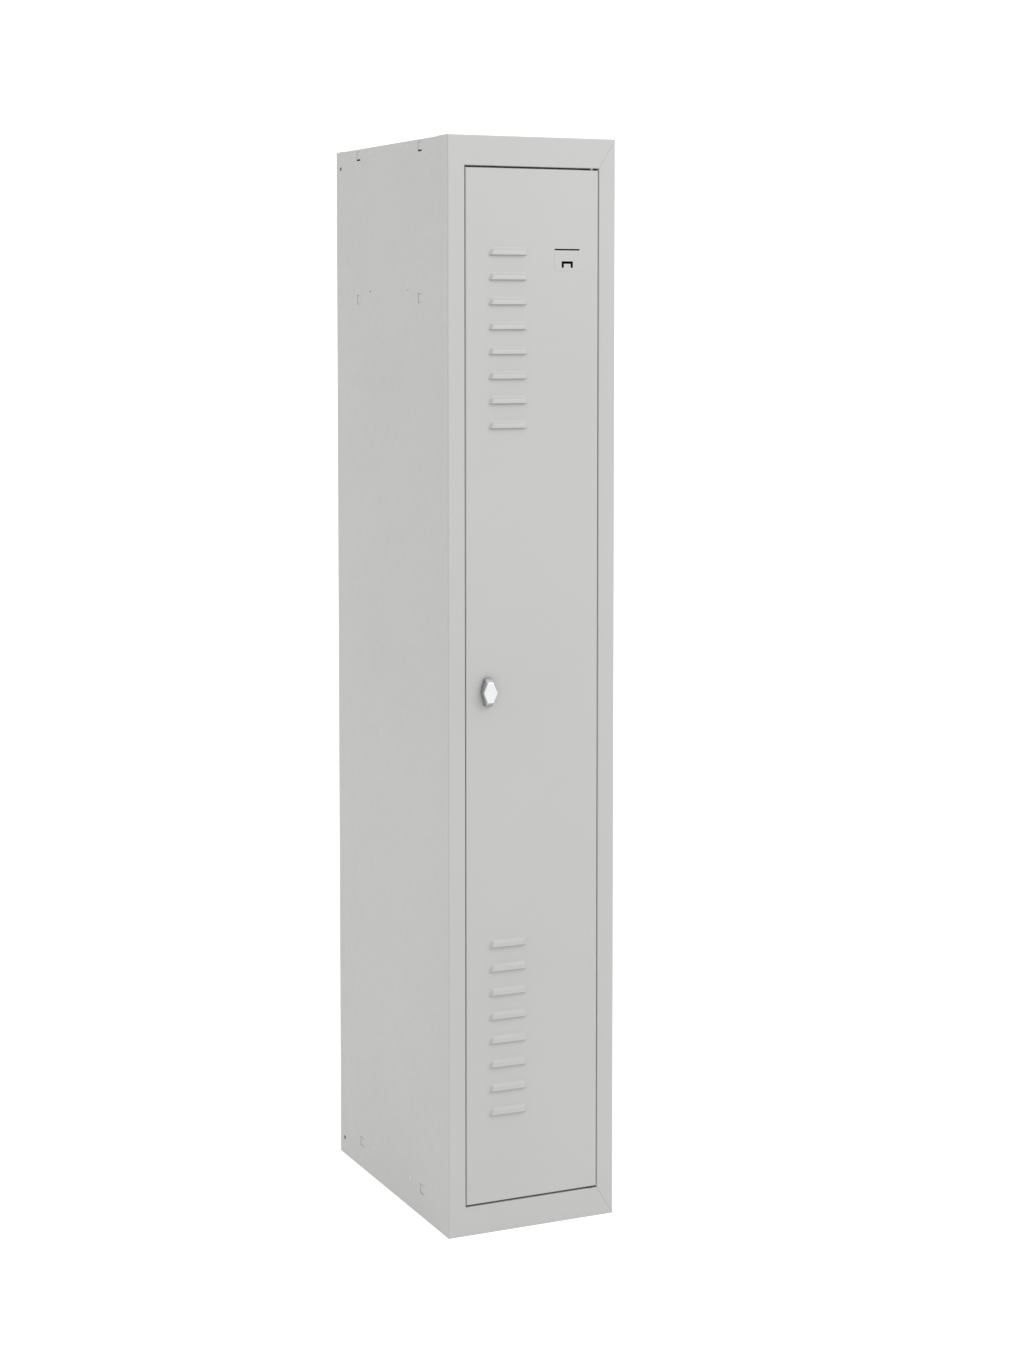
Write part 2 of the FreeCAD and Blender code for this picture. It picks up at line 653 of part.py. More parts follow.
# ---- Latch ---------------------------------------------------------------------------------------
HOUSING_R = 9.5
HOUSING_LENGTH = 16.0
HOUSING_FLANGE_R = 11.0
NUT_ACROSS_FLATS = 24.0
NUT_THICK = 5.0
SPINDLE_R = 5.0
SQUARE = 7.0                # across the flats of the spindle's square end
SCREW_R = 2.0
KNOB_BACK = -1.4
KNOB_EDGE = -7.0
KNOB_FACE = -14.5
KNOB_BASE = (12.8, 23.3, 6.5)       # half width, half height, half width of the flat ends
KNOB_CROWN = (12.1, 16.1, 5.1)
KNOB_BLEND = 2.5
SPINDLE_FRONT = -9.0
CAM_DEPTH = (22.6, 25.6)
CAM_REACH = 36.0
CAM_HALF = 8.0
CAM_HUB_R = 9.0
WASHER_THICK = 1.0


def latch_housing():
    flange = rod(at(LATCH_X, -1, LATCH_Z), Vector(0, 1, 0), HOUSING_FLANGE_R, 1.0)
    barrel = rod(at(LATCH_X, 0, LATCH_Z), Vector(0, 1, 0), HOUSING_R, HOUSING_LENGTH)
    bore = rod(at(LATCH_X, -2, LATCH_Z), Vector(0, 1, 0), SPINDLE_R + RUNNING_GAP, 20.0)
    return flange.fuse(barrel).cut(bore).removeSplitter()


def latch_nut():
    corner_r = NUT_ACROSS_FLATS / 2 / math.cos(math.pi / 6)
    corners = []
    for i in range(6):
        angle = math.pi * i / 3
        corners.append(at(LATCH_X + corner_r * math.cos(angle), SHEET, LATCH_Z + corner_r * math.sin(angle)))
    thread = rod(at(LATCH_X, 0, LATCH_Z), Vector(0, 1, 0), HOUSING_R, NUT_THICK + 2)
    return prism(corners, Vector(0, NUT_THICK, 0)).cut(thread)


def knob_outline(depth, half_width, half_height, half_end):
    """A tall hexagon at one depth, as a closed wire."""
    corners = [
        (half_end, half_height),
        (half_width, 0.0),
        (half_end, -half_height),
        (-half_end, -half_height),
        (-half_width, 0.0),
        (-half_end, half_height),
    ]
    return Part.makePolygon([at(LATCH_X + x, depth, LATCH_Z + z) for x, z in corners + corners[:1]])


def latch_knob():
    """The grip: a tall hexagonal knob whose ends slope back from its flat face."""
    back = knob_outline(KNOB_BACK, *KNOB_BASE)
    edge = knob_outline(KNOB_EDGE, *KNOB_BASE)
    face = knob_outline(KNOB_FACE, *KNOB_CROWN)
    knob = Part.makeLoft([back, edge], True, True).fuse(Part.makeLoft([edge, face], True, True))
    knob = knob.removeSplitter()
    knob = knob.makeFillet(KNOB_BLEND, [e for e in knob.Edges if is_shoulder(e)])
    socket = rod(at(LATCH_X, SPINDLE_FRONT - FIT, LATCH_Z), Vector(0, 1, 0), SPINDLE_R + 0.03, 9)
    return knob.cut(socket)


def is_shoulder(edge):
    """True for the edges that run from front to back at the knob's widest places."""
    ends = [v.Point for v in edge.Vertexes]
    level = all(abs(p.z - LATCH_Z) < 0.01 for p in ends)
    return level and abs(ends[0].y - ends[1].y) > 1.0


def square_end(clear):
    half = SQUARE / 2 + clear
    return block((LATCH_X - half, LATCH_X + half), CAM_DEPTH, (LATCH_Z - half, LATCH_Z + half))


def latch_spindle():
    start = at(LATCH_X, SPINDLE_FRONT, LATCH_Z)
    body = rod(start, Vector(0, 1, 0), SPINDLE_R, CAM_DEPTH[0] - SPINDLE_FRONT)
    thread = rod(at(LATCH_X, CAM_DEPTH[1] - 10, LATCH_Z), Vector(0, 1, 0), SCREW_R, 12)
    return body.fuse(square_end(0)).cut(thread)


def latch_cam():
    """The cam hangs down when the latch is open, and turns behind the closing upright's lip."""
    thick = CAM_DEPTH[1] - CAM_DEPTH[0]
    hub = rod(at(LATCH_X, CAM_DEPTH[0], LATCH_Z), Vector(0, 1, 0), CAM_HUB_R, thick)
    arm_end = LATCH_Z - CAM_REACH + CAM_HALF
    arm = block((LATCH_X - CAM_HALF, LATCH_X + CAM_HALF), CAM_DEPTH, (arm_end, LATCH_Z))
    tip = rod(at(LATCH_X, CAM_DEPTH[0], arm_end), Vector(0, 1, 0), CAM_HALF, thick)
    return hub.fuse([arm, tip]).removeSplitter().cut(square_end(0.05))


def cam_washer():
    start = at(LATCH_X, CAM_DEPTH[1], LATCH_Z)
    return ring(start, Vector(0, 1, 0), 3 * SCREW_R, SCREW_R + FIT, WASHER_THICK)


def cam_screw():
    seat = CAM_DEPTH[1] + WASHER_THICK
    head = rod(at(LATCH_X, seat, LATCH_Z), Vector(0, 1, 0), 2 * SCREW_R, 2.8)
    recess = rod(at(LATCH_X, seat + 1.2, LATCH_Z), Vector(0, 1, 0), 1.6, 2.0)
    shank = rod(at(LATCH_X, seat - 10.0, LATCH_Z), Vector(0, 1, 0), SCREW_R, 10.0)
    return head.fuse(shank).removeSplitter().cut(recess)


# ---- Assembly ------------------------------------------------------------------------------------
def assembly():
    left_upright, left_side, left_rear = side_nodes(STOP_DEPTH)
    right_upright, right_side, right_rear = side_nodes(HINGE_STOP_DEPTH)
    nodes = {
        "left_side_panel": left_side,
        "right_side_panel": mirrored(right_side),
        "left_upright": left_upright,
        "right_upright": mirrored(right_upright),
        "left_rear_flange": left_rear,
        "right_rear_flange": mirrored(right_rear),
        "top_rail": header_rail(),
        "bottom_rail": plinth_rail(),
        "top_panel": top_panel(),
        "floor_panel": floor_panel(),
        "hat_shelf": hat_shelf(),
        "back_panel": back_panel(),
        "panel_rivets": panel_rivets(),
        "back_rivets": back_rivets(),
        "coat_rail": coat_rail(),
        "rail_bracket_left": rail_bracket(),
        "rail_bracket_right": mirrored(rail_bracket()),
        "bracket_rivets": bracket_rivets(),
        "upper_hinge_pin": upper_hinge_pin(),
        "lower_hinge_pin": lower_hinge_pin(),
        "thrust_washer": thrust_washer(),
        "door_buffers": door_buffers(),
        "door_panel": door_panel(),
        "door_stiffener": door_stiffener(),
        "upper_hinge_bush": hinge_bush(DOOR_HIGH),
        "lower_hinge_bush": flipped(hinge_bush(DOOR_HIGH)),
        "latch_housing": latch_housing(),
        "latch_nut": latch_nut(),
        "latch_knob": latch_knob(),
        "latch_spindle": latch_spindle(),
        "latch_cam": latch_cam(),
        "cam_washer": cam_washer(),
        "cam_screw": cam_screw(),
    }
    for number, x in enumerate(HOOK_PLACES, start=1):
        nodes[f"coat_hook_{number}"] = coat_hook(x)
    return nodes


os.makedirs("parts", exist_ok=True)
for name, shape in assembly().items():
    if not shape.isValid():
        raise ValueError(f"{name} is not a valid solid")
    shape.exportStep(f"parts/{name}.step")
    print(f"{name:20s} {len(shape.Solids):3d} solids {shape.Volume / 1000:9.2f} cm3")
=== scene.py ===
"""The looks of the locker cabinet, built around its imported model: fine sheet-metal meshes, fittings,
materials, a pale studio and the camera. Metres; X to the right, Y from the door to the back, Z up."""

import json
import math

import bmesh
import bpy
from mathutils import Matrix, Vector


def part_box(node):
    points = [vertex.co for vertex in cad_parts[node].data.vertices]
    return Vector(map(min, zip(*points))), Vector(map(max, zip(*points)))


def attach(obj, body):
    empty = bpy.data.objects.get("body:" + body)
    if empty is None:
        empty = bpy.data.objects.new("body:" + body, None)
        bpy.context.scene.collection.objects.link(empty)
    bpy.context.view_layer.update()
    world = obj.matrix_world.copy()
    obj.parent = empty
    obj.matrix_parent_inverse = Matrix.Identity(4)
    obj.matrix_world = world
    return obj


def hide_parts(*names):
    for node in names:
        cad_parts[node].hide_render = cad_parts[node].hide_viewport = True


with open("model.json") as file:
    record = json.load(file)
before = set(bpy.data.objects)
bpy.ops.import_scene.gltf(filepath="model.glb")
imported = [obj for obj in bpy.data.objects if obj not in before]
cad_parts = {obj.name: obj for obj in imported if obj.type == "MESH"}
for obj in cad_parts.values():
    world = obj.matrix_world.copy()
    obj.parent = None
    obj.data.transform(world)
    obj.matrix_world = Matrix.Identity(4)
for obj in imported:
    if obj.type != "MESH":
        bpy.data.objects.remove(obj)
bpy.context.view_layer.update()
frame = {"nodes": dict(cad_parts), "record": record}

MM = 0.001
ROUND_STEPS = 8                 # facets in a quarter turn of a fold
OVERCUT = 1.0 * MM              # how far a cutter runs past the sheet that it cuts
RIGHT = Vector((1, 0, 0))
REARWARD = Vector((0, 1, 0))
UP = Vector((0, 0, 1))

# ---- Sizes of the cabinet, read from the frame where it gives them -------------------------------
upright_low, upright_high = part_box("left_upright")
rear_low, rear_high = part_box("left_rear_flange")
door_low, door_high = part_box("door_panel")
pin_low, pin_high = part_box("upper_hinge_pin")

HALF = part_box("top_rail")[1].x
FRONT = upright_low.y
BACK = rear_high.y
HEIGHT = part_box("top_rail")[1].z
PANEL_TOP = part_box("left_side_panel")[1].z
SHEET = HEIGHT - PANEL_TOP
BEND = 2.0 * MM                 # outside radius of every fold

STILE = 30.0 * MM
RAIL = 48.5 * MM
MITRE_SLOPE = RAIL / STILE
OPENING = HALF - STILE
STOP_DEPTH = 21.0 * MM          # front of the frame's stop lip
HINGE_STOP_DEPTH = 24.8 * MM    # the same on the hinge side, where the door's rear corner swings past
STOP_WIDTH = upright_high.x + OPENING
REAR_FLANGE = rear_high.x - rear_low.x
RAIL_FLANGE = 44.0 * MM         # how far back the rails' folded edges reach
RAIL_LIP_END = 24.0 * MM        # how far from the hinge side the rails' stop lips end
LEFT_MITRE = 0.02 * MM          # the left joints are welded and ground flush
RIGHT_MITRE = 0.45 * MM         # the right joints show as a fine line
FIT = 0.1 * MM
INNER = HALF - SHEET - FIT

HINGE_X = (pin_low.x + pin_high.x) / 2
HINGE_DEPTH = (pin_low.y + pin_high.y) / 2 - FRONT
PIN_RADIUS = 2.5 * MM
PIN_HOLE = 2.55 * MM            # radius of the rails' holes
BUSH_RADIUS = 3.5 * MM
BUSH_BORE = 2.56 * MM
BUSH_HOLE = 3.52 * MM           # radius of the door's holes
BODY_RADIUS = 9.5 * MM          # of the latch's threaded body
BODY_HOLE = 9.55 * MM


def at(x, depth, z):
    """A point given by X, the depth behind the front face, and Z."""
    return Vector((x, FRONT + depth, z))


# ---- Mesh helpers --------------------------------------------------------------------------------
def new_object(name, bm):
    mesh = bpy.data.meshes.new(name)
    bmesh.ops.recalc_face_normals(bm, faces=bm.faces)
    bm.to_mesh(mesh)
    bm.free()
    piece = bpy.data.objects.new(name, mesh)
    bpy.context.scene.collection.objects.link(piece)
    return piece


def apply_modifiers(piece):
    graph = bpy.context.evaluated_depsgraph_get()
    mesh = bpy.data.meshes.new_from_object(piece.evaluated_get(graph))
    piece.modifiers.clear()
    piece.data = mesh
    return piece


def smooth(piece, angle=35.0):
    """Smooth shading across folds, crisp at edges, and flat where the sheet is flat."""
    mesh = piece.data
    mesh.polygons.foreach_set("use_smooth", [True] * len(mesh.polygons))
    mesh.set_sharp_from_angle(angle=math.radians(angle))
    weighted = piece.modifiers.new("weighted", "WEIGHTED_NORMAL")
    weighted.keep_sharp = True
    weighted.weight = 100
    return piece


def soften_edges(piece, width, angle):
    """Adds a bevel that rounds the edges that turn by more than an angle."""
    bevel = piece.modifiers.new("edges", "BEVEL")
    bevel.width = width
    bevel.segments = 2
    bevel.limit_method = "ANGLE"
    bevel.angle_limit = math.radians(angle)
    return piece


def add_prism(bm, loop, sweep):
    """A closed prism on a loop of points, swept by a vector."""
    low = [bm.verts.new(p) for p in loop]
    high = [bm.verts.new(p + sweep) for p in loop]
    bm.faces.new(low)
    bm.faces.new(reversed(high))
    for i in range(len(loop)):
        j = (i + 1) % len(loop)
        bm.faces.new((low[i], high[i], high[j], low[j]))


def add_block(bm, x_range, depth_range, z_range):
    (x0, x1), (d0, d1), (z0, z1) = x_range, depth_range, z_range
    loop = [at(x0, d0, z0), at(x1, d0, z0), at(x1, d0, z1), at(x0, d0, z1)]
    add_prism(bm, loop, Vector((0, d1 - d0, 0)))


def circle(centre, axis, radius, count=48):
    """Points of a circle about an axis, in order."""
    axis = axis.normalized()
    across = axis.orthogonal().normalized()
    other = axis.cross(across)
    points = []
    for i in range(count):
        angle = 2 * math.pi * i / count
        points.append(centre + across * (radius * math.cos(angle)) + other * (radius * math.sin(angle)))
    return points


def add_rod(bm, centre, sweep, radius, count=48):
    add_prism(bm, circle(centre, sweep, radius, count), sweep)


def join_loops(bm, first, second):
    """Faces between two closed loops of vertices. A loop of one vertex is a point."""
    count = max(len(first), len(second))
    for i in range(count):
        j = (i + 1) % count
        a, b = first[i % len(first)], first[j % len(first)]
        c, d = second[j % len(second)], second[i % len(second)]
        bm.faces.new([v for k, v in enumerate((a, b, c, d)) if v not in (a, b, c, d)[:k]])


def add_turned(bm, base, axis, profile, count=40):
    """A turned shape. profile lists (radius, distance from base); it closes on itself round a bore."""
    axis = axis.normalized()
    loops = []
    for radius, along in profile:
        centre = base + axis * along
        points = circle(centre, axis, radius, count) if radius > 0 else [centre]
        loops.append([bm.verts.new(p) for p in points])
    followers = loops[1:] + (loops[:1] if profile[0][0] > 0 else [])
    for first, second in zip(loops, followers):
        join_loops(bm, first, second)


def add_lofted(bm, rings):
    """A closed solid through rings of points that all have the same count."""
    loops = [[bm.verts.new(p) for p in ring] for ring in rings]
    for first, second in zip(loops, loops[1:]):
        join_loops(bm, first, second)
    bm.faces.new(loops[0])
    bm.faces.new(reversed(loops[-1]))


def cut_away(piece, cutter_bm):
    """Takes every closed shell in cutter_bm away from the piece."""
    cutter = new_object(piece.name + "_cutter", cutter_bm)
    boolean = piece.modifiers.new("cut", "BOOLEAN")
    boolean.operation = "DIFFERENCE"
    boolean.solver = "EXACT"
    boolean.object = cutter
    apply_modifiers(piece)
    bpy.data.objects.remove(cutter)
    return piece


def cut_blocks(piece, blocks):
    """Cuts boxes away one after another, so that they may touch each other."""
    for block in blocks:
        bm = bmesh.new()
        add_block(bm, *block)
        cut_away(piece, bm)


def flip(points):
    """Points turned upside down within the cabinet's height."""
    return [Vector((p.x, p.y, HEIGHT - p.z)) for p in points]


def mirror(piece, axis, middle=0.0):
    """Turns a piece into its mirror image in a plane across an axis, at a distance along it."""
    piece.data.transform(Matrix.Translation(axis * (2 * middle)) @ Matrix.Scale(-1, 4, axis))
    piece.data.flip_normals()
    return piece


# ---- Folded sheet --------------------------------------------------------------------------------
def normal(run):
    return Vector((-run.y, run.x))


def folded_outline(middle):
    """The closed outline of a folded sheet, from the polyline of its middle layer."""
    radius = BEND - SHEET / 2
    points = [Vector(p) for p in middle]
    runs = [(b - a).normalized() for a, b in zip(points, points[1:])]
    sides = []
    for side in (SHEET / 2, -SHEET / 2):
        line = [points[0] + normal(runs[0]) * side]
        for i, corner in enumerate(points[1:-1]):
            before, after = runs[i], runs[i + 1]
            turn = before.x * after.y - before.y * after.x
            hand = math.copysign(1.0, turn)
            back = radius * math.tan(abs(math.asin(turn)) / 2)
            centre = corner - before * back + normal(before) * (hand * radius)
            start = corner - before * back + normal(before) * side - centre
            for k in range(ROUND_STEPS + 1):
                spin = Matrix.Rotation(math.asin(turn) * k / ROUND_STEPS, 2)
                line.append(centre + spin @ start)
        line.append(points[-1] + normal(runs[-1]) * side)
        sides.append(line)
    return sides[0] + sides[1][::-1]


def folded_sheet(name, middle, place, sweep):
    """A closed folded sheet: place turns the outline's two coordinates into a point in space."""
    bm = bmesh.new()
    add_prism(bm, [place(p.x, p.y) for p in folded_outline(middle)], sweep)
    return new_object(name, bm)


# ---- Materials -----------------------------------------------------------------------------------
class Shader:
    """A material with a Principled shader and short ways to feed it."""

    def __init__(self, name, base, roughness, metallic=0.0):
        self.material = bpy.data.materials.new(name)
        self.material.use_nodes = True
        self.tree = self.material.node_tree
        self.principled = self.tree.nodes["Principled BSDF"]
        self.place = self.node("ShaderNodeTexCoord").outputs["Object"]
        self.set("Base Color", (*base, 1))
        self.set("Roughness", roughness)
        self.set("Metallic", metallic)

    def node(self, kind, **settings):
        node = self.tree.nodes.new(kind)
        for key, value in settings.items():
            setattr(node, key, value)
        return node

    def set(self, socket, value):
        self.principled.inputs[socket].default_value = value

    def link(self, source, target):
        self.tree.links.new(source, target)

    def noise(self, scale, detail=2.0, stretch=(1, 1, 1)):
        mapping = self.node("ShaderNodeMapping")
        mapping.inputs["Scale"].default_value = stretch
        noise = self.node("ShaderNodeTexNoise")
        noise.inputs["Scale"].default_value = scale
        noise.inputs["Detail"].default_value = detail
        self.link(self.place, mapping.inputs["Vector"])
        self.link(mapping.outputs["Vector"], noise.inputs["Vector"])
        return noise.outputs["Fac"]

    def spread(self, value, low, high):
        """Maps a texture's middle range onto low..high."""
        spread = self.node("ShaderNodeMapRange")
        spread.inputs["From Min"].default_value = 0.3
        spread.inputs["From Max"].default_value = 0.7
        spread.inputs["To Min"].default_value = low
        spread.inputs["To Max"].default_value = high
        self.link(value, spread.inputs["Value"])
        return spread.outputs["Result"]

    def ramp_along(self, axis, start, end):
        """0 before start and 1 beyond end, along one axis of the object."""
        split = self.node("ShaderNodeSeparateXYZ")
        self.link(self.place, split.inputs["Vector"])
        ramp = self.node("ShaderNodeMapRange")
        ramp.inputs["From Min"].default_value = start
        ramp.inputs["From Max"].default_value = end
        self.link(split.outputs[axis], ramp.inputs["Value"])
        return ramp.outputs["Result"]

    def blend_colours(self, factor, first, second):
        mix = self.node("ShaderNodeMix", data_type="RGBA")
        mix.inputs["A"].default_value = (*first, 1)
        mix.inputs["B"].default_value = (*second, 1)
        self.link(factor, mix.inputs["Factor"])
        return mix.outputs["Result"]

    def bump(self, height, distance, strength=1.0, below=None):
        bump = self.node("ShaderNodeBump")
        bump.inputs["Distance"].default_value = distance
        bump.inputs["Strength"].default_value = strength
        self.link(height, bump.inputs["Height"])
        if below:
            self.link(below, bump.inputs["Normal"])
        return bump.outputs["Normal"]

    def feed(self, socket, source):
        self.link(source, self.principled.inputs[socket])


def powder_coat():
    """Light grey powder coat: a fine orange peel, and a slow drift of shade and gloss."""
    shader = Shader("powder_coat", (0.398, 0.398, 0.388), 0.42)
    drift = shader.spread(shader.noise(3.0, 3.0), 0.0, 1.0)
    shader.feed("Base Color", shader.blend_colours(drift, (0.391, 0.392, 0.381), (0.405, 0.406, 0.395)))
    shader.feed("Roughness", shader.spread(shader.noise(90.0, 4.0), 0.38, 0.47))
    peel = shader.bump(shader.noise(520.0, 2.0), 0.00003, 0.6)
    shader.feed("Normal", shader.bump(shader.noise(2600.0, 1.0), 0.000008, 0.5, peel))
    shader.set("Specular IOR Level", 0.4)
    return shader.material


def zinc_steel():
    """Bright zinc plate on steel, with faint draw lines and a cloudy passivated tint."""
    shader = Shader("zinc_steel", (0.6, 0.61, 0.63), 0.34, 1.0)
    cloud = shader.spread(shader.noise(55.0, 4.0), 0.0, 1.0)
    shader.feed("Base Color", shader.blend_colours(cloud, (0.55, 0.56, 0.585), (0.66, 0.66, 0.665)))
    shader.feed("Roughness", shader.spread(shader.noise(240.0, 3.0), 0.26, 0.42))
    shader.feed("Normal", shader.bump(shader.noise(900.0, 2.0, (0.03, 1, 1)), 0.00001, 0.5))
    return shader.material


def chrome():
    """Chrome over a die casting, bright on its face. Its colour is duller and darker towards the door:
    painted shade for the door mirrored in the knob's walls and the shade there.
    """
    shader = Shader("chrome", (0.86, 0.865, 0.88), 0.1, 1.0)
    # Painted shade: the base colour darkens from the knob's face back towards the door.
    depth = shader.ramp_along("Y", FRONT - 14.0 * MM, FRONT - 8.5 * MM)
    shader.feed("Base Color", shader.blend_colours(depth, (0.7, 0.705, 0.72), (0.42, 0.425, 0.435)))
    shader.feed("Roughness", shader.spread(shader.noise(420.0, 3.0), 0.09, 0.19))
    shader.feed("Normal", shader.bump(shader.noise(130.0, 2.0), 0.00003, 0.35))
    return shader.material


def moulded(name, base, roughness):
    """Moulded plastic or rubber with a fine spark-eroded grain."""
    shader = Shader(name, base, roughness)
    lighter = tuple(min(1.0, c * 1.15 + 0.004) for c in base)
    cloud = shader.spread(shader.noise(160.0, 3.0), 0.0, 1.0)
    shader.feed("Base Color", shader.blend_colours(cloud, base, lighter))
    shader.feed("Roughness", shader.spread(shader.noise(500.0, 2.0), roughness - 0.06, roughness + 0.08))
    shader.feed("Normal", shader.bump(shader.noise(1800.0, 2.0), 0.00002, 0.6))
    return shader.material


MATERIALS = {
    "powder_coat": powder_coat(),
    "zinc_steel": zinc_steel(),
    "chrome": chrome(),
    "nylon": moulded("nylon", (0.03, 0.03, 0.032), 0.45),
    "hook_plastic": moulded("hook_plastic", (0.02, 0.02, 0.022), 0.36),
    "rubber": moulded("rubber", (0.018, 0.018, 0.018), 0.75),
}
SLOT_OF = {part["node"]: part["material_slot"] for part in frame["record"]["subparts"]}
BODY_OF = {}
for body, members in frame["record"]["behaviour"]["bodies"].items():
    for member in members:
        BODY_OF[member] = body


def stand_for(piece, *nodes):
    """The piece takes the place, the body and the material of one or more CAD nodes."""
    node = nodes[0]
    slot = SLOT_OF[node]
    piece.data.materials.clear()
    piece.data.materials.append(MATERIALS[slot])
    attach(piece, BODY_OF[node])
    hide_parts(*nodes)
    return piece


def turned_piece(name, node, base, axis, profile, count=40):
    """A turned piece that stands for one node."""
    bm = bmesh.new()
    add_turned(bm, base, axis, profile, count)
    return stand_for(smooth(new_object(name, bm)), node)


def turned_upright(name, node, profile, head_up):
    """A turned piece on its node's vertical axis, with its profile's end up or down."""
    low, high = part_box(node)
    middle = (low + high) / 2
    base = Vector((middle.x, middle.y, low.z if head_up else high.z))
    return turned_piece(name, node, base, UP if head_up else -UP, profile)


# ---- Carcass -------------------------------------------------------------------------------------
WINDOW = 16.0 * MM
WINDOW_DEPTHS = (115.0 * MM, 391.0 * MM)
RIVET_DEPTHS = (168.5 * MM, 337.5 * MM)
RIVET_HOLE = 2.55 * MM
LINK_HOLE = 3.5 * MM
LINK_DEPTH = 477.5 * MM
LINK_MARGIN = 30.0 * MM
BACK_RIVET_X = 140.0 * MM
BACK_RIVET_MARGIN = 90.0 * MM
BACK_RIVETS_A_SIDE = 5
FLOOR_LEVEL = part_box("floor_panel")[1].z
SHELF_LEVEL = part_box("hat_shelf")[1].z
FLOOR_FLANGE = 21.0 * MM
PAN_FLANGE = 17.0 * MM
WINDOW_HEIGHTS = (
    FLOOR_LEVEL - FLOOR_FLANGE + 0.4 * MM,
    SHELF_LEVEL - 28.0 * MM,
    PANEL_TOP - PAN_FLANGE - 2.7 * MM,
)
RIVET_HEIGHTS = (FLOOR_LEVEL - 9.0 * MM, SHELF_LEVEL - 6.4 * MM, PANEL_TOP - 8.2 * MM)
BACK_RIVET_PITCH = (HEIGHT - 2 * BACK_RIVET_MARGIN) / (BACK_RIVETS_A_SIDE - 1)
BACK_RIVET_HEIGHTS = [BACK_RIVET_MARGIN + BACK_RIVET_PITCH * i for i in range(BACK_RIVETS_A_SIDE)]


def mitre_corner(gap):
    """What is taken off the left upright above its upper mitre joint."""
    above = HEIGHT + 5 * OVERCUT
    return [
        at(-HALF - OVERCUT, -OVERCUT, HEIGHT - gap + OVERCUT * MITRE_SLOPE),
        at(-OPENING + OVERCUT, -OVERCUT, HEIGHT - RAIL - gap - OVERCUT * MITRE_SLOPE),
        at(-OPENING + OVERCUT, -OVERCUT, above),
        at(-HALF - OVERCUT, -OVERCUT, above),
    ]


def mitre_end(sign):
    """What is taken off one end of the upper rail, below its mitre joint."""
    return [
        at(sign * (HALF + OVERCUT), -OVERCUT, HEIGHT + OVERCUT * MITRE_SLOPE),
        at(sign * (OPENING - OVERCUT), -OVERCUT, HEIGHT - RAIL - OVERCUT * MITRE_SLOPE),
        at(sign * (HALF + OVERCUT), -OVERCUT, HEIGHT - RAIL - OVERCUT * MITRE_SLOPE),
    ]


def punch_side(panel):
    """Cuts the left side's lug windows and holes, and the holes in its rear flange."""
    bm = bmesh.new()
    web = (-HALF - OVERCUT, -HALF + BEND)
    for depth in WINDOW_DEPTHS:
        for z in WINDOW_HEIGHTS:
            add_block(bm, web, (depth - WINDOW / 2, depth + WINDOW / 2), (z, z + WINDOW))
    inward = RIGHT * (SHEET + 2 * OVERCUT)
    for depth in RIVET_DEPTHS:
        for z in RIVET_HEIGHTS:
            add_rod(bm, at(-HALF - OVERCUT, depth, z), inward, RIVET_HOLE)
    for z in (LINK_MARGIN, HEIGHT - LINK_MARGIN):
        add_rod(bm, at(-HALF - OVERCUT, LINK_DEPTH, z), inward, LINK_HOLE)
    start = BACK - FRONT - SHEET - OVERCUT
    for z in BACK_RIVET_HEIGHTS:
        add_rod(bm, at(-BACK_RIVET_X, start, z), REARWARD * (SHEET + 2 * OVERCUT), RIVET_HOLE)
    return cut_away(panel, bm)


def side_panel(name, stop_depth, mitre_gap):
    """The left side with its rear flange, front upright, return and stop lip, folded from one sheet."""
    skin = SHEET / 2
    section = [
        (-OPENING + STOP_WIDTH, stop_depth + skin),
        (-OPENING - skin, stop_depth + skin),
        (-OPENING - skin, skin),
        (-HALF + skin, skin),
        (-HALF + skin, BACK - FRONT - skin),
        (-HALF + REAR_FLANGE, BACK - FRONT - skin),
    ]
    panel = folded_sheet(name, section, lambda x, depth: at(x, depth, 0), UP * PANEL_TOP)
    bm = bmesh.new()
    through = REARWARD * (OVERCUT + BEND)
    add_prism(bm, mitre_corner(mitre_gap), through)
    add_prism(bm, flip(mitre_corner(mitre_gap)), through)
    cut_away(panel, bm)

    # Return and lip end at the rails. The deeper lip of the hinge side also ends short of the trays.
    reach = (-OPENING - BEND, -OPENING + STOP_WIDTH + OVERCUT)
    behind = stop_depth + BEND
    lip_end = FIT + (RAIL if stop_depth == STOP_DEPTH else FLOOR_LEVEL)
    cut_blocks(
        panel,
        [
            (reach, (BEND, behind), (-OVERCUT, RAIL)),
            (reach, (BEND, behind), (HEIGHT - RAIL, HEIGHT)),
            (reach, (STOP_DEPTH - BEND, behind + OVERCUT), (RAIL - OVERCUT, lip_end)),
            (reach, (STOP_DEPTH - BEND, behind + OVERCUT), (HEIGHT - lip_end, HEIGHT - RAIL + OVERCUT)),
        ],
    )
    return smooth(punch_side(panel))


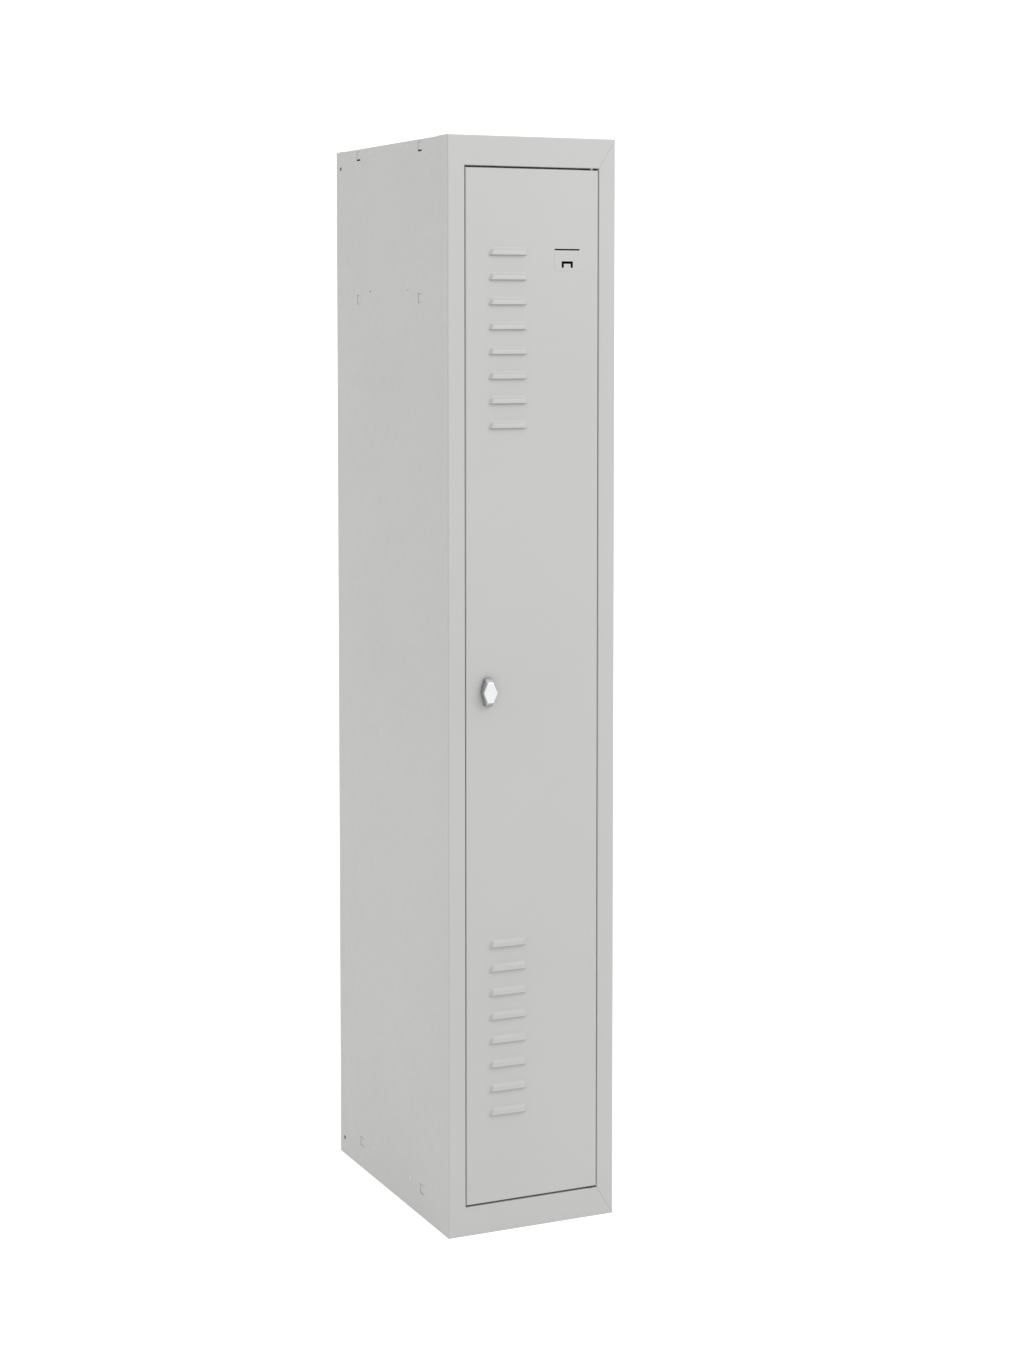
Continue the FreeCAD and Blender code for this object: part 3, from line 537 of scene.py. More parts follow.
def cross_rail(name, upper):
    """The upper or lower rail of the front frame."""
    skin = SHEET / 2
    section = [
        (STOP_DEPTH + skin, HEIGHT - FLOOR_LEVEL),
        (STOP_DEPTH + skin, HEIGHT - RAIL + skin),
        (skin, HEIGHT - RAIL + skin),
        (skin, HEIGHT - skin),
        (RAIL_FLANGE, HEIGHT - skin),
    ]
    rail = folded_sheet(name, section, lambda depth, z: at(-HALF, depth, z), RIGHT * (2 * HALF))
    bm = bmesh.new()
    for sign in (-1, 1):
        add_prism(bm, mitre_end(sign), REARWARD * (OVERCUT + BEND))
    cut_away(rail, bm)

    # The return ends at the uprights, and the stop lip short of the uprights' own stop lips.
    lip = (HEIGHT - FLOOR_LEVEL - OVERCUT, HEIGHT - RAIL)
    lip_and_fold = (lip[0] - OVERCUT, HEIGHT - RAIL + BEND)
    behind = STOP_DEPTH + 2 * BEND
    left_lip_end = -OPENING + STOP_WIDTH + 2 * MM
    cut_blocks(
        rail,
        [
            ((-HALF - OVERCUT, -OPENING + FIT), (BEND, behind), lip_and_fold),
            ((OPENING - FIT, HALF + OVERCUT), (BEND, behind), lip_and_fold),
            ((-OPENING - OVERCUT, -OPENING + BEND), (STOP_DEPTH - BEND, behind), lip_and_fold),
            ((OPENING - BEND, OPENING + OVERCUT), (STOP_DEPTH - BEND, behind), lip_and_fold),
            ((-OPENING - OVERCUT, left_lip_end), (STOP_DEPTH - FIT, behind), lip),
            ((OPENING - RAIL_LIP_END, OPENING + OVERCUT), (STOP_DEPTH - FIT, behind), lip),
        ],
    )
    bm = bmesh.new()
    add_rod(bm, at(HINGE_X, HINGE_DEPTH, HEIGHT - RAIL - OVERCUT), UP * (SHEET + 2 * OVERCUT), PIN_HOLE)
    cut_away(rail, bm)
    if not upper:
        mirror(rail, UP, HEIGHT / 2)
        ends = ((-HALF - OVERCUT, -INNER), (INNER, HALF + OVERCUT))
        cut_blocks(rail, [(end, (-OVERCUT, RAIL_FLANGE + OVERCUT), (-OVERCUT, BEND)) for end in ends])
    return smooth(rail)


left_side = side_panel("left_side_sheet", STOP_DEPTH, LEFT_MITRE)
stand_for(left_side, "left_side_panel", "left_upright", "left_rear_flange")
right_side = mirror(side_panel("right_side_sheet", HINGE_STOP_DEPTH, RIGHT_MITRE), RIGHT)
stand_for(right_side, "right_side_panel", "right_upright", "right_rear_flange")
stand_for(cross_rail("header_sheet", True), "top_rail")
stand_for(cross_rail("plinth_sheet", False), "bottom_rail")

# ---- Door ----------------------------------------------------------------------------------------
DOOR_HALF = door_high.x
DOOR_LOW = door_low.z
DOOR_HIGH = door_high.z
DOOR_DEPTH = door_high.y - FRONT
DOOR_LIP = 12.0 * MM
LIP_BEND = 1.4 * MM

LOUVRES_PER_GROUP = 8
LOUVRE_PITCH = 40.0 * MM
LOUVRE_GROUP_TOPS = (1609.5 * MM, 478.0 * MM)
LOUVRE_LEFT = -79.0 * MM
LOUVRE_RIGHT = -9.0 * MM
LOUVRE_TALL = 12.0 * MM
LOUVRE_PROUD = FRONT - door_low.y
LOUVRE_LEAN = 5.0 * MM          # how far each end leans in over the louvre's height
LOUVRE_SHOULDER = 6.5 * MM      # width of the slope above the hood's face
LOUVRE_END = 7.0 * MM           # width of the slopes at its ends, where they are widest
END_NARROWING = 0.3             # share by which those slopes narrow down to the slit
FACE_AT_TOP = 0.72              # how far the face stands out at its top, as a share of that at the slit
SLIT_END = 0.3 * MM             # at each end of a slit, hood and sheet still join
LEAN_FADE = 8.0 * MM
LOUVRE_BOTTOMS = [top - LOUVRE_PITCH * i for top in LOUVRE_GROUP_TOPS for i in range(LOUVRES_PER_GROUP)]

LABEL_X = (38.3 * MM, 87.8 * MM)
LABEL_Z = (1584.0 * MM, 1617.2 * MM)
LABEL_RAISE = 0.5 * MM
LABEL_RAMP = 1.2 * MM
SLOT_X = (39.6 * MM, 84.8 * MM)
SLOT_Z = (1617.4 * MM, 1619.9 * MM)
TONGUE_X = (56.1 * MM, 68.4 * MM)
TONGUE_Z = (1589.3 * MM, 1595.7 * MM)
TONGUE_CUT = 4.0 * MM

# Grid lines of the door's front: across the slopes at the louvres' ends as shares of LOUVRE_END, down
# each louvre from its top in mm, across the label's raised edge, and over the flat sheet between them.
END_STEPS = (-1.0, 0.0, 0.18, 0.36, 0.55, 0.73, 0.88, 1.0, 1.25, 2.0, 3.0)
HOOD_STEPS = (-0.6, 0.0, 0.6, 1.3, 2.2, 3.1, 3.9, 4.5, 5.0, 5.6, 7.0, 9.0, 10.6, 12.0)
LABEL_STEPS = (0.0, 0.3 * LABEL_RAMP, 0.6 * LABEL_RAMP, LABEL_RAMP)
FLAT_COLUMNS = (-95.0 * MM, 0.0, 20.0 * MM, 105.0 * MM)
FLAT_ROWS = 24


def ease(t):
    t = min(1.0, max(0.0, t))
    return t * t * (3 - 2 * t)


def slope(t):
    """A straight rise from 0 to 1 with softened ends."""
    t = min(1.0, max(0.0, t))
    return 0.55 * t + 0.45 * ease(t)


def louvre_rise(x, z, bottom):
    """How far the hood of the louvre above bottom stands out of the door at x, z."""
    from_end = min(x - LOUVRE_LEFT, LOUVRE_RIGHT - x)
    from_top = bottom + LOUVRE_TALL - z
    if from_end <= 0 or from_top <= 0 or z < bottom:
        return 0.0
    share_down = from_top / LOUVRE_TALL
    face = FACE_AT_TOP + (1 - FACE_AT_TOP) * share_down
    end = LOUVRE_END * (1 - END_NARROWING * share_down)
    return LOUVRE_PROUD * face * slope(min(from_end / end, from_top / LOUVRE_SHOULDER))


def lean_share(x):
    """1 at a louvre's left end and -1 at its right end, fading out away from them."""
    half = (LOUVRE_RIGHT - LOUVRE_LEFT) / 2
    share = 0.0
    for end, way in ((LOUVRE_LEFT, 1), (LOUVRE_RIGHT, -1)):
        inside = (x - end) * way
        fade = half if inside > 0 else LEAN_FADE
        share += way * max(0.0, 1 - abs(inside) / fade)
    return share


def lean(x, z):
    """The sideways shift of the door's mesh that makes the louvres' ends lean in."""
    for bottom in LOUVRE_BOTTOMS:
        part = (z - bottom) / LOUVRE_TALL
        if 0 <= part <= 2:
            return LOUVRE_LEAN * min(part, 2 - part) * lean_share(x)
    return 0.0


def label_rise(x, z):
    from_end = min(x - LABEL_X[0], LABEL_X[1] - x)
    from_edge = min(z - LABEL_Z[0], LABEL_Z[1] - z)
    return LABEL_RAISE * ease(min(from_end, from_edge) / LABEL_RAMP)


def rise(x, z):
    for bottom in LOUVRE_BOTTOMS:
        if bottom <= z <= bottom + LOUVRE_TALL:
            return max(louvre_rise(x, z, bottom), label_rise(x, z))
    return label_rise(x, z)


def grid_lines(values, low, high):
    """Sorted grid lines within low..high, with near doubles merged."""
    kept = []
    for value in sorted(values):
        if low <= value <= high and (not kept or value - kept[-1] > 0.05 * MM):
            kept.append(value)
    return kept


def grid_columns():
    """The X of the grid lines of the door's front: close where it is formed, wide where it is flat."""
    low, high = -DOOR_HALF + BEND, DOOR_HALF - BEND
    xs = [low, high, *FLAT_COLUMNS]
    for step in END_STEPS:
        xs += [LOUVRE_LEFT + step * LOUVRE_END, LOUVRE_RIGHT - step * LOUVRE_END]
    xs += [LOUVRE_LEFT + (LOUVRE_RIGHT - LOUVRE_LEFT) * i / 7 for i in range(2, 6)]
    for step in LABEL_STEPS:
        xs += [LABEL_X[0] + step, LABEL_X[1] - step]
    xs += [*SLOT_X, *TONGUE_X, TONGUE_X[0] - TONGUE_CUT, TONGUE_X[1] + TONGUE_CUT]
    return grid_lines(xs, low, high)


def grid_rows():
    """The Z of the grid lines of the door's front."""
    low, high = DOOR_LOW + BEND, DOOR_HIGH - BEND
    formed = []
    for bottom in LOUVRE_BOTTOMS:
        formed += [bottom + LOUVRE_TALL - step * MM for step in HOOD_STEPS]
    for step in LABEL_STEPS:
        formed += [LABEL_Z[0] + step, LABEL_Z[1] - step]
    formed += [*SLOT_Z, *TONGUE_Z, TONGUE_Z[1] + TONGUE_CUT]
    flat = [DOOR_LOW + (DOOR_HIGH - DOOR_LOW) * i / FLAT_ROWS for i in range(1, FLAT_ROWS)]
    clear = [z for z in flat if all(abs(z - other) > 2 * MM for other in formed)]
    return grid_lines([low, high, *clear, *formed], low, high)


def between(value, bounds):
    return bounds[0] < value < bounds[1]


def cell_is_cut(x, z):
    """True where the door's front is punched through: the label slot and around the label tongue."""
    if between(x, SLOT_X) and between(z, SLOT_Z):
        return True
    around = (TONGUE_X[0] - TONGUE_CUT, TONGUE_X[1] + TONGUE_CUT)
    outer = between(x, around) and between(z, (TONGUE_Z[0], TONGUE_Z[1] + TONGUE_CUT))
    return outer and not (between(x, TONGUE_X) and between(z, TONGUE_Z))


def door_front(bm):
    """The formed front sheet. Returns its grid lines and its grid of vertices."""
    xs, zs = grid_columns(), grid_rows()
    formed, flat = {}, {}       # along a slit, the hood's edge and the sheet's edge behind it
    for j, z in enumerate(zs):
        on_slit = any(abs(z - bottom) < 0.01 * MM for bottom in LOUVRE_BOTTOMS)
        for i, x in enumerate(xs):
            formed[i, j] = bm.verts.new(at(x + lean(x, z), -rise(x, z), z))
            flat[i, j] = formed[i, j]
            if on_slit and louvre_is_open(x):
                flat[i, j] = bm.verts.new(at(x, 0, z))
    for j in range(len(zs) - 1):
        for i in range(len(xs) - 1):
            middle = ((xs[i] + xs[i + 1]) / 2, (zs[j] + zs[j + 1]) / 2)
            if not cell_is_cut(*middle):
                bm.faces.new((formed[i, j], formed[i + 1, j], flat[i + 1, j + 1], flat[i, j + 1]))
    return xs, zs, formed


def louvre_is_open(x):
    """False at the very ends of a louvre's slit."""
    return min(x - LOUVRE_LEFT, LOUVRE_RIGHT - x) > SLIT_END


def door_border(xs, zs, formed):
    """The front's border vertices in order round the door, each with its outward direction."""
    last_x, last_z = len(xs) - 1, len(zs) - 1
    ring = [(i, 0) for i in range(last_x)] + [(last_x, j) for j in range(last_z)]
    ring += [(i, last_z) for i in range(last_x, 0, -1)] + [(0, j) for j in range(last_z, 0, -1)]
    border = []
    for i, j in ring:
        out_x = -1 if i == 0 else 1 if i == last_x else 0
        out_z = -1 if j == 0 else 1 if j == last_z else 0
        border.append((formed[i, j], Vector((out_x, 0, out_z))))
    return border


def flange_profile():
    """Outward and backward steps from the front's border, over the edge and along the return lip."""
    steps = []
    for k in range(1, ROUND_STEPS + 1):
        angle = math.pi / 2 * k / ROUND_STEPS
        steps.append((BEND * math.sin(angle), BEND * (1 - math.cos(angle))))
    for k in range(ROUND_STEPS + 1):
        angle = math.pi / 2 * k / ROUND_STEPS
        inward, short = LIP_BEND * (1 - math.cos(angle)), LIP_BEND * (1 - math.sin(angle))
        steps.append((BEND - inward, DOOR_DEPTH - short))
    steps.append((BEND - DOOR_LIP, DOOR_DEPTH))
    return steps


def door_sheet():
    """The whole door pan: front, edges and return lips, then its thickness and its holes."""
    bm = bmesh.new()
    border = door_border(*door_front(bm))
    ring = [vertex for vertex, _ in border]
    for out, back in flange_profile():
        new = [bm.verts.new(v.co + way * out + Vector((0, back, 0))) for v, way in border]
        for i in range(len(ring)):
            j = (i + 1) % len(ring)
            bm.faces.new((ring[i], new[i], new[j], ring[j]))
        ring = new
    door = new_object("door_sheet", bm)
    if door.data.polygons[0].normal.y > 0:
        door.data.flip_normals()
    solid = door.modifiers.new("thickness", "SOLIDIFY")
    solid.thickness = SHEET
    solid.offset = -1
    solid.use_even_offset = True
    apply_modifiers(door)
    bm = bmesh.new()
    low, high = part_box("latch_housing")
    through = SHEET + 2 * OVERCUT
    place = Vector(((low.x + high.x) / 2, FRONT - OVERCUT, (low.z + high.z) / 2))
    add_rod(bm, place, REARWARD * through, BODY_HOLE, 64)
    for z in (DOOR_LOW - OVERCUT, DOOR_HIGH + OVERCUT - through):
        add_rod(bm, at(HINGE_X, HINGE_DEPTH, z), UP * through, BUSH_HOLE)
    return smooth(cut_away(door, bm), 30.0)


stand_for(door_sheet(), "door_panel")

# ---- Rivets, hinges and buffers ------------------------------------------------------------------
RIVET_R = 2.45 * MM
RIVET_BEHIND = 0.9 * MM         # how much wider a set rivet is behind the sheets
RIVET_TAIL = 1.6 * MM
MANDREL_HOLE = (0.85 * MM, 1.2 * MM)        # radius and depth
OPEN_MANDREL_HOLE = (1.5 * MM, 2.6 * MM)    # in the shelf's rivets, where the mandrel broke off deeper
BRACKET_SHEET = 2.0 * MM
BUFFER_ROUND = 1.2 * MM         # radius of the buffers' rims
CAM_WASHER_BORE = 2.1 * MM


def add_rivet(bm, base, axis, grip, hole):
    """A set blind rivet: flush dished head, mandrel hole, and a bulb behind the sheets."""
    bulb = RIVET_R + RIVET_BEHIND
    tail = grip + RIVET_TAIL
    radius, depth = hole
    profile = [
        (0, depth),
        (radius, depth),
        (radius, 0.3 * MM),
        (radius + 0.35 * MM, 0.05 * MM),
        (RIVET_R - 0.5 * MM, 0),
        (RIVET_R - 0.15 * MM, 0.06 * MM),
        (RIVET_R, 0.25 * MM),
        (RIVET_R, grip),
        (bulb - 0.2 * MM, grip),
        (bulb, grip + 0.3 * MM),
        (bulb - 0.1 * MM, tail - 0.6 * MM),
        (bulb - 0.7 * MM, tail - 0.1 * MM),
        (1.0 * MM, tail),
        (0, tail - 0.2 * MM),
    ]
    add_turned(bm, base, axis, profile, 28)


def rivets(name, node, places, axis, grip):
    """A group of rivets. axis points into the sheets, and is turned round on the right side."""
    bm = bmesh.new()
    for place in places:
        turned = Vector((-axis.x if place.x > 0 else axis.x, axis.y, axis.z))
        holds_shelf = abs(place.z - RIVET_HEIGHTS[1]) < MM
        add_rivet(bm, place, turned, grip, OPEN_MANDREL_HOLE if holds_shelf else MANDREL_HOLE)
    return stand_for(smooth(new_object(name, bm)), node)


def hinge_pin(name, node, head_up):
    """A pin with a rounded tip, riveted over at its head."""
    low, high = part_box(node)
    length = high.z - low.z
    head = (high.x - low.x) / 2
    shank = PIN_RADIUS
    thick = 1.2 * MM
    profile = [
        (0, 0),
        (shank - 0.7 * MM, 0),
        (shank - 0.2 * MM, 0.2 * MM),
        (shank, 0.7 * MM),
        (shank, length - thick),
        (head, length - thick),
        (head, length - 0.6 * MM),
        (head - 0.5 * MM, length - 0.15 * MM),
        (head - 1.4 * MM, length),
        (0, length),
    ]
    return turned_upright(name, node, profile, head_up)


def hinge_bush(name, node, flange_up):
    """A flanged bush with a broken edge at its mouth."""
    low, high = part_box(node)
    length = high.z - low.z
    flange = (high.x - low.x) / 2
    barrel, bore = BUSH_RADIUS, BUSH_BORE
    thick = 1.0 * MM
    edge = 0.25 * MM
    profile = [
        (bore + edge, 0),
        (barrel - edge, 0),
        (barrel, edge),
        (barrel, length - thick),
        (flange - edge, length - thick),
        (flange, length - thick + edge),
        (flange, length - edge),
        (flange - edge, length),
        (bore + edge, length),
        (bore, length - edge),
        (bore, edge),
    ]
    return turned_upright(name, node, profile, flange_up)


def flat_washer(name, node, axis, bore):
    """A stamped washer: one edge rounded by the punch."""
    low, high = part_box(node)
    size = high - low
    across = max(size)
    thick = min(size)
    edge = 0.2 * MM
    profile = [
        (bore, 0),
        (across / 2 - edge, 0),
        (across / 2, edge),
        (across / 2, thick - edge / 2),
        (across / 2 - edge / 2, thick),
        (bore, thick),
    ]
    return turned_piece(name, node, (low + high) / 2 - axis * (thick / 2), axis, profile)


def door_buffers():
    """Rubber discs with a rounded rim on the closing upright's lip."""
    low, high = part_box("door_buffers")
    radius = (high.x - low.x) / 2
    tall = high.y - low.y
    middle = (low + high) / 2
    profile = [(0, 0), (radius - 0.1 * MM, 0)]
    for k in range(6):
        angle = math.pi / 2 * k / 5
        inset, drop = BUFFER_ROUND * (1 - math.cos(angle)), BUFFER_ROUND * (1 - math.sin(angle))
        profile.append((radius - inset, tall - drop))
    profile.append((0, tall))
    bm = bmesh.new()
    for z in (low.z + radius, high.z - radius):
        add_turned(bm, Vector((middle.x, high.y, z)), -REARWARD, profile)
    return stand_for(smooth(new_object("rubber_buffers", bm)), "door_buffers")


def bracket_rivet_places():
    """The shelf's top at the four corners of the group."""
    low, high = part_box("bracket_rivets")
    bulb = RIVET_R + RIVET_BEHIND
    xs, ys = (low.x + bulb, high.x - bulb), (low.y + bulb, high.y - bulb)
    return [Vector((x, y, high.z)) for x in xs for y in ys]


panel_places = [at(sign * HALF, d, z) for sign in (-1, 1) for d in RIVET_DEPTHS for z in RIVET_HEIGHTS]
back_places = [Vector((sign * BACK_RIVET_X, BACK, z)) for sign in (-1, 1) for z in BACK_RIVET_HEIGHTS]
rivets("side_rivet_heads", "panel_rivets", panel_places, RIGHT, 2 * SHEET + FIT)
rivets("back_rivet_heads", "back_rivets", back_places, -REARWARD, 2 * SHEET)
rivets("shelf_rivet_heads", "bracket_rivets", bracket_rivet_places(), -UP, SHEET + BRACKET_SHEET)
hinge_pin("hinge_pin_top", "upper_hinge_pin", True)
hinge_pin("hinge_pin_bottom", "lower_hinge_pin", False)
hinge_bush("hinge_bush_top", "upper_hinge_bush", True)
hinge_bush("hinge_bush_bottom", "lower_hinge_bush", False)
flat_washer("hinge_washer", "thrust_washer", UP, BUSH_BORE)
flat_washer("cam_lock_washer", "cam_washer", REARWARD, CAM_WASHER_BORE)
door_buffers()

# ---- Latch ---------------------------------------------------------------------------------------
knob_low, knob_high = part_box("latch_knob")
KNOB_CENTRE = (knob_low + knob_high) / 2
# Half width, half height and half width of the flat ends, at the knob's base and on its face.
KNOB_BASE = (knob_high.x - KNOB_CENTRE.x, knob_high.z - KNOB_CENTRE.z, 6.5 * MM)
KNOB_CROWN = (12.1 * MM, 16.1 * MM, 5.1 * MM)
KNOB_SKIRT = 5.6 * MM           # depth of the knob's straight skirt
KNOB_SIDE_BLEND = 2.2 * MM      # how far from its corners the outline starts to round them
KNOB_END_BLEND = 1.3 * MM
BLEND_STEPS = 5
SPINDLE_BORE = 5.06 * MM        # through the latch's body
SCREW_HEAD = 2.8 * MM           # thickness of the cam screw's head


def knob_ring(y, toward_face, inset):
    """The knob's rounded hexagon at one depth: 0 is its base size and 1 the size of its face."""
    wide, tall, end = [b + (c - b) * toward_face - inset for b, c in zip(KNOB_BASE, KNOB_CROWN)]
    outline = [(end, tall), (wide, 0), (end, -tall), (-end, -tall), (-wide, 0), (-end, tall)]
    corners = [Vector(c) for c in outline]
    ring = []
    for i, corner in enumerate(corners):
        blend = KNOB_SIDE_BLEND if corner.y == 0 else KNOB_END_BLEND
        start = corner + (corners[i - 1] - corner).normalized() * blend
        end_point = corner + (corners[(i + 1) % 6] - corner).normalized() * blend
        for k in range(BLEND_STEPS + 1):
            t = k / BLEND_STEPS
            point = start * (1 - t) ** 2 + corner * (2 * t * (1 - t)) + end_point * t**2
            ring.append(Vector((KNOB_CENTRE.x + point.x, y, KNOB_CENTRE.z + point.y)))
    return ring


def knob():
    """The grip: a straight skirt, and a crown whose ends slope back from its flat face."""
    back, face = knob_high.y, knob_low.y
    shoulder = back - KNOB_SKIRT
    rings = [
        knob_ring(back, 0, 0.35 * MM),
        knob_ring(back - 0.1 * MM, 0, 0.1 * MM),
        knob_ring(back - 0.35 * MM, 0, 0),
        knob_ring(shoulder + 0.3 * MM, 0, 0),
        knob_ring(shoulder - 0.3 * MM, 0.03, 0.03 * MM),
        knob_ring(face + 0.5 * MM, 0.94, 0.0),
        knob_ring(face + 0.15 * MM, 0.985, 0.12 * MM),
        knob_ring(face, 1, 0.42 * MM),
    ]
    bm = bmesh.new()
    add_lofted(bm, rings)
    return stand_for(smooth(new_object("knob_grip", bm), 28.0), "latch_knob")


def housing():
    """The latch's threaded body with a rounded flange against the door's face."""
    low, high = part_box("latch_housing")
    flange = (high.x - low.x) / 2
    length = high.y - low.y
    barrel, bore = BODY_RADIUS, SPINDLE_BORE
    profile = [(bore, 0), (flange - 0.6 * MM, 0), (flange - 0.15 * MM, 0.2 * MM), (flange, 0.6 * MM)]
    profile += [(flange, 1.0 * MM), (barrel, 1.0 * MM)]
    pitch = 1.0 * MM
    along = 3.0 * MM
    while along < length - pitch:
        profile += [(barrel, along), (barrel - 0.45 * MM, along + pitch / 2)]
        along += pitch
    profile += [(barrel, length - 0.6 * MM), (barrel - 0.6 * MM, length), (bore, length)]
    base = Vector((KNOB_CENTRE.x, low.y, KNOB_CENTRE.z))
    return turned_piece("latch_body", "latch_housing", base, REARWARD, profile, 64)


def cam_screw():
    """A pan-head screw with a round recess."""
    low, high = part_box("cam_screw")
    head = (high.x - low.x) / 2
    length = high.y - low.y
    shank = 2.0 * MM
    seat = length - SCREW_HEAD
    profile = [
        (0, 0),
        (shank - 0.4 * MM, 0),
        (shank, 0.4 * MM),
        (shank, seat),
        (head, seat),
        (head, length - 1.2 * MM),
        (head - 0.5 * MM, length - 0.45 * MM),
        (head - 1.5 * MM, length - 0.05 * MM),
        (1.7 * MM, length),
        (1.5 * MM, length - 0.2 * MM),
        (1.5 * MM, length - 1.5 * MM),
        (0, length - 1.8 * MM),
    ]
    base = Vector((KNOB_CENTRE.x, low.y, KNOB_CENTRE.z))
    return turned_piece("cam_fixing_screw", "cam_screw", base, REARWARD, profile)


knob()
housing()
cam_screw()

# ---- Coat hooks ----------------------------------------------------------------------------------
rail_tube_low, rail_tube_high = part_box("coat_rail")
RAIL_CENTRE = (rail_tube_low + rail_tube_high) / 2
RAIL_WIDE = rail_tube_high.y - rail_tube_low.y
RAIL_TALL = rail_tube_high.z - rail_tube_low.z
HOOK_THICK = 8.0 * MM
HOOK_OUTER = 22.0 * MM
HOOK_INNER = 15.0 * MM
HOOK_STEM = 3.5 * MM
HOOK_WALL = 3.0 * MM
HOOK_CLEARANCE = 0.8 * MM
HORN_ROUND = 1.3 * MM           # rounding of the horns' edges
COLLAR_ROUND = 0.8 * MM         # and of the collar's


def arc(centre, radius, start, end, steps):
    """Points along an arc, both ends included; angles in degrees."""
    points = []
    for k in range(steps + 1):
        angle = math.radians(start + (end - start) * k / steps)
        points.append(centre + Vector((math.cos(angle), math.sin(angle))) * radius)
    return points


def obround(wide, tall, steps=12):
    """The outline of an upright obround about the origin."""
    radius = wide / 2
    reach = tall / 2 - radius
    upper = arc(Vector((0, reach)), radius, 0, 180, steps)
    lower = arc(Vector((0, -reach)), radius, 180, 360, steps)
    return upper + lower


def hook_outline(stem_top):
    """Two upturned horns on a stem, in Y and Z about the horns' centre."""
    middle = (HOOK_OUTER + HOOK_INNER) / 2
    tip = (HOOK_OUTER - HOOK_INNER) / 2
    stem_angle = math.degrees(math.acos(HOOK_STEM / HOOK_INNER))
    outline = arc(Vector((0, 0)), HOOK_OUTER, 180, 360, 36)
    outline += arc(Vector((middle, 0)), tip, 0, 180, 10)[1:]
    outline += arc(Vector((0, 0)), HOOK_INNER, 0, -stem_angle, 16)[1:]
    outline += [Vector((HOOK_STEM, stem_top)), Vector((-HOOK_STEM, stem_top))]
    outline += arc(Vector((0, 0)), HOOK_INNER, 180 + stem_angle, 180, 16)
    outline += arc(Vector((-middle, 0)), tip, 0, 180, 10)[1:-1]
    return outline


def hook_horns(low, high):
    """The horns and their stem up to the collar, with rounded edges."""
    corner = Vector(((low.x + high.x - HOOK_THICK) / 2, RAIL_CENTRE.y, low.z + HOOK_OUTER))
    stem_top = RAIL_CENTRE.z - RAIL_TALL / 2 - HOOK_WALL / 2 - corner.z
    bm = bmesh.new()
    outline = [corner + Vector((0, p.x, p.y)) for p in hook_outline(stem_top)]
    add_prism(bm, outline, RIGHT * HOOK_THICK)
    return apply_modifiers(soften_edges(new_object("horns", bm), HORN_ROUND, 50.0))


def hook_collar(bm, start, end):
    """The collar round the rail, from one X to another."""
    wide, tall = RAIL_WIDE + HOOK_CLEARANCE, RAIL_TALL + HOOK_CLEARANCE
    inner, outer = obround(wide, tall), obround(wide + 2 * HOOK_WALL, tall + 2 * HOOK_WALL)
    rings = [
        (inner, start, 0),
        (outer, start, -COLLAR_ROUND),
        (outer, start + COLLAR_ROUND, 0),
        (outer, end - COLLAR_ROUND, 0),
        (outer, end, -COLLAR_ROUND),
        (inner, end, 0),
    ]
    loops = []
    for outline, x, grow in rings:
        points = [p + p.normalized() * grow for p in outline]
        place = Vector((x, RAIL_CENTRE.y, RAIL_CENTRE.z))
        loops.append([bm.verts.new(place + Vector((0, p.x, p.y))) for p in points])
    for first, second in zip(loops, loops[1:] + loops[:1]):
        join_loops(bm, first, second)


def coat_hook(number):
    """A double hook moulded with the collar that slides on the rail."""
    node = f"coat_hook_{number}"
    low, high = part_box(node)
    horns = hook_horns(low, high)
    bm = bmesh.new()
    hook_collar(bm, low.x, high.x)
    bm.from_mesh(horns.data)
    bpy.data.objects.remove(horns)
    return stand_for(smooth(new_object(f"hook_{number}_moulding", bm)), node)


for hook_number in (1, 2, 3):
    coat_hook(hook_number)

# ---- CAD pieces that stay ------------------------------------------------------------------------
BROKEN_EDGES = ("rail_bracket_left", "rail_bracket_right", "latch_nut", "latch_cam", "latch_spindle")

for name, node in frame["nodes"].items():
    node.data.materials.clear()
    node.data.materials.append(MATERIALS[SLOT_OF[name]])
    if name in BROKEN_EDGES:
        soften_edges(node, 0.3 * MM, 40.0)

# ---- Studio --------------------------------------------------------------------------------------
FLOOR_REACH = 6.0
FLOOR_FRONT = -9.6
SWEEP_RADIUS = 1.5
SWEEP_STEPS = 16
WALL_TOP = 8.0
PAPER = (0.52, 0.52, 0.52)
PAPER_GLOW = 0.68
SHADED_INSET = 2.0 * MM         # how far inside the cabinet's edges the unlit patch of floor ends
SHADED_LIFT = 0.05 * MM


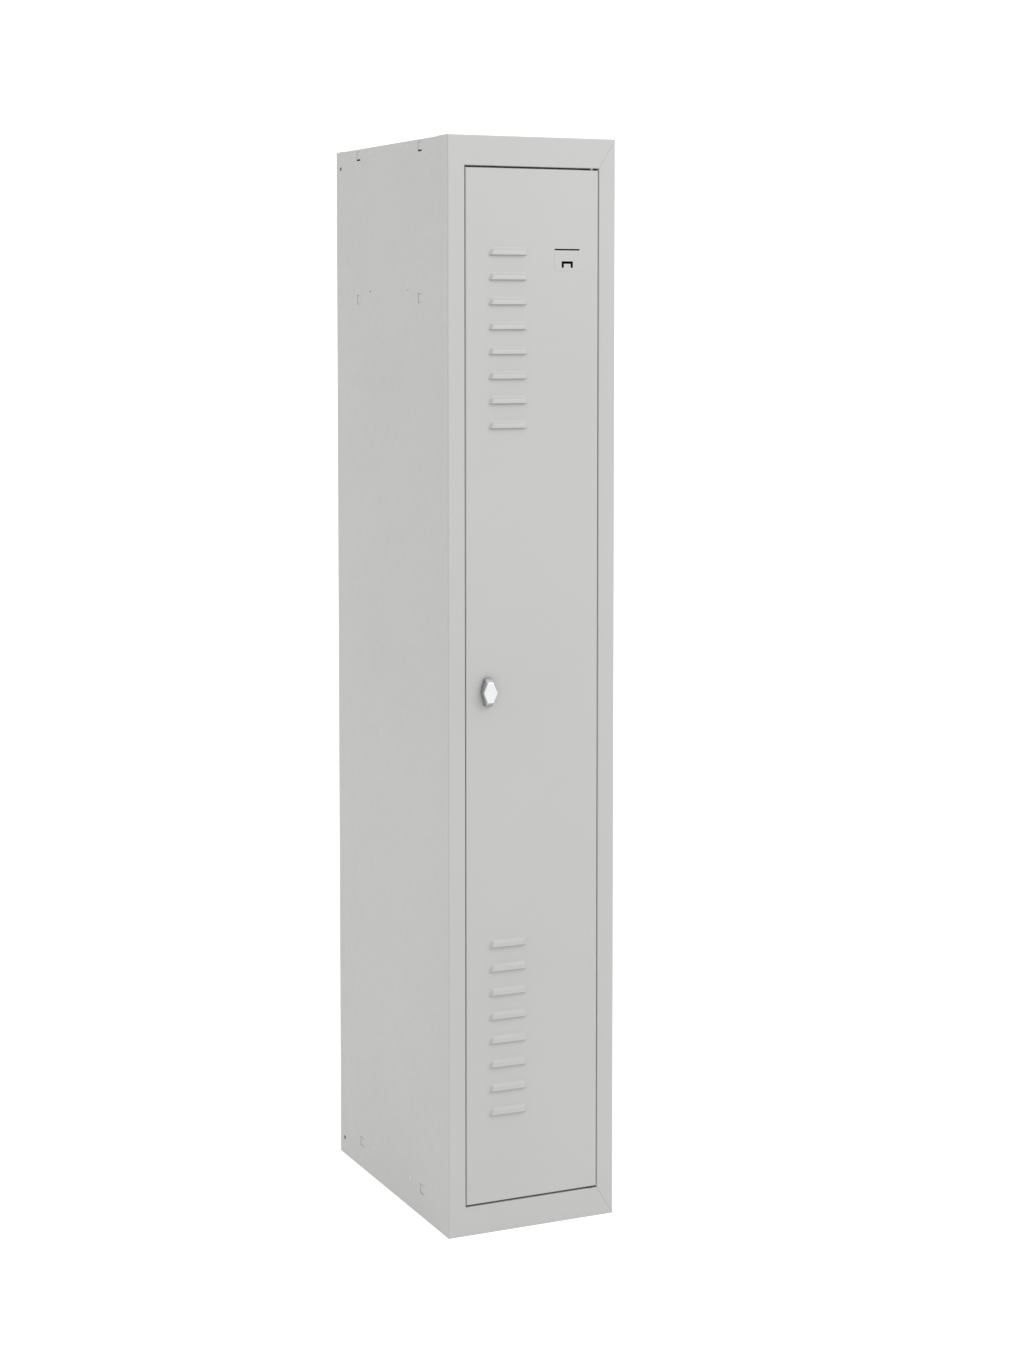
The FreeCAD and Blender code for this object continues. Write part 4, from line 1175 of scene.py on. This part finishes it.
def studio_floor():
    """A pale floor that sweeps up into a wall behind the cabinet, back-lit except under the cabinet."""
    bm = bmesh.new()
    section = [(FLOOR_FRONT, 0.0)]
    for k in range(SWEEP_STEPS + 1):
        angle = math.pi / 2 * k / SWEEP_STEPS
        forward, up = SWEEP_RADIUS * math.sin(angle), SWEEP_RADIUS * (1 - math.cos(angle))
        section.append((FLOOR_REACH + forward, up))
    section.append((FLOOR_REACH + SWEEP_RADIUS, WALL_TOP))
    rows = []
    for x in (-2 * FLOOR_REACH, 2 * FLOOR_REACH):
        rows.append([bm.verts.new((x, y, z)) for y, z in section])
    for i in range(len(section) - 1):
        bm.faces.new((rows[0][i], rows[1][i], rows[1][i + 1], rows[0][i + 1]))
    side, end = HALF - SHADED_INSET, BACK - SHADED_INSET
    under = [(-side, -end), (side, -end), (side, end), (-side, end)]
    shaded = bm.faces.new([bm.verts.new((x, y, SHADED_LIFT)) for x, y in under])
    shaded.material_index = 1
    floor = new_object("studio_floor", bm)
    floor.data.polygons.foreach_set("use_smooth", [True] * len(floor.data.polygons))
    shader = Shader("studio_paper", PAPER, 0.9)
    shader.feed("Roughness", shader.spread(shader.noise(40.0), 0.86, 0.95))
    shader.set("Emission Color", (1, 1, 1, 1))
    shader.set("Emission Strength", PAPER_GLOW)
    floor.data.materials.append(shader.material)
    floor.data.materials.append(Shader("unlit_paper", PAPER, 0.9).material)


def soft_light(name, place, target, size, power):
    """A rectangular lamp that points at its target."""
    lamp = bpy.data.lights.new(name, "AREA")
    lamp.shape = "RECTANGLE"
    lamp.size, lamp.size_y = size
    lamp.energy = power
    light = bpy.data.objects.new(name, lamp)
    light.location = place
    light.rotation_euler = (Vector(target) - Vector(place)).to_track_quat("-Z", "Y").to_euler()
    bpy.context.scene.collection.objects.link(light)


def studio_light():
    """An even white sky, and one large lamp high in front on the right."""
    world = bpy.data.worlds.new("studio_world")
    world.use_nodes = True
    sky = world.node_tree.nodes["Background"]
    sky.inputs["Color"].default_value = (1, 1, 1, 1)
    sky.inputs["Strength"].default_value = 1.0
    bpy.context.scene.world = world
    soft_light("key", (2.2, -3.0, 3.8), (0, -0.2, 1.1), (2.6, 2.6), 90.0)


def camera():
    """Eye-level view of the left side and the door."""
    turned_right = 24.66
    tilted_down = 3.774
    data = bpy.data.cameras.new("camera")
    data.lens = 67.266
    data.sensor_width = 36.0
    data.shift_y = -0.14
    data.clip_end = 100.0
    view = bpy.data.objects.new("camera", data)
    view.location = (-1.764, -4.012, 1.499)
    view.rotation_euler = (math.radians(90 - tilted_down), 0, math.radians(-turned_right))
    bpy.context.scene.collection.objects.link(view)
    bpy.context.scene.camera = view


studio_floor()
studio_light()
camera()
bpy.context.scene.view_settings.view_transform = "Standard"
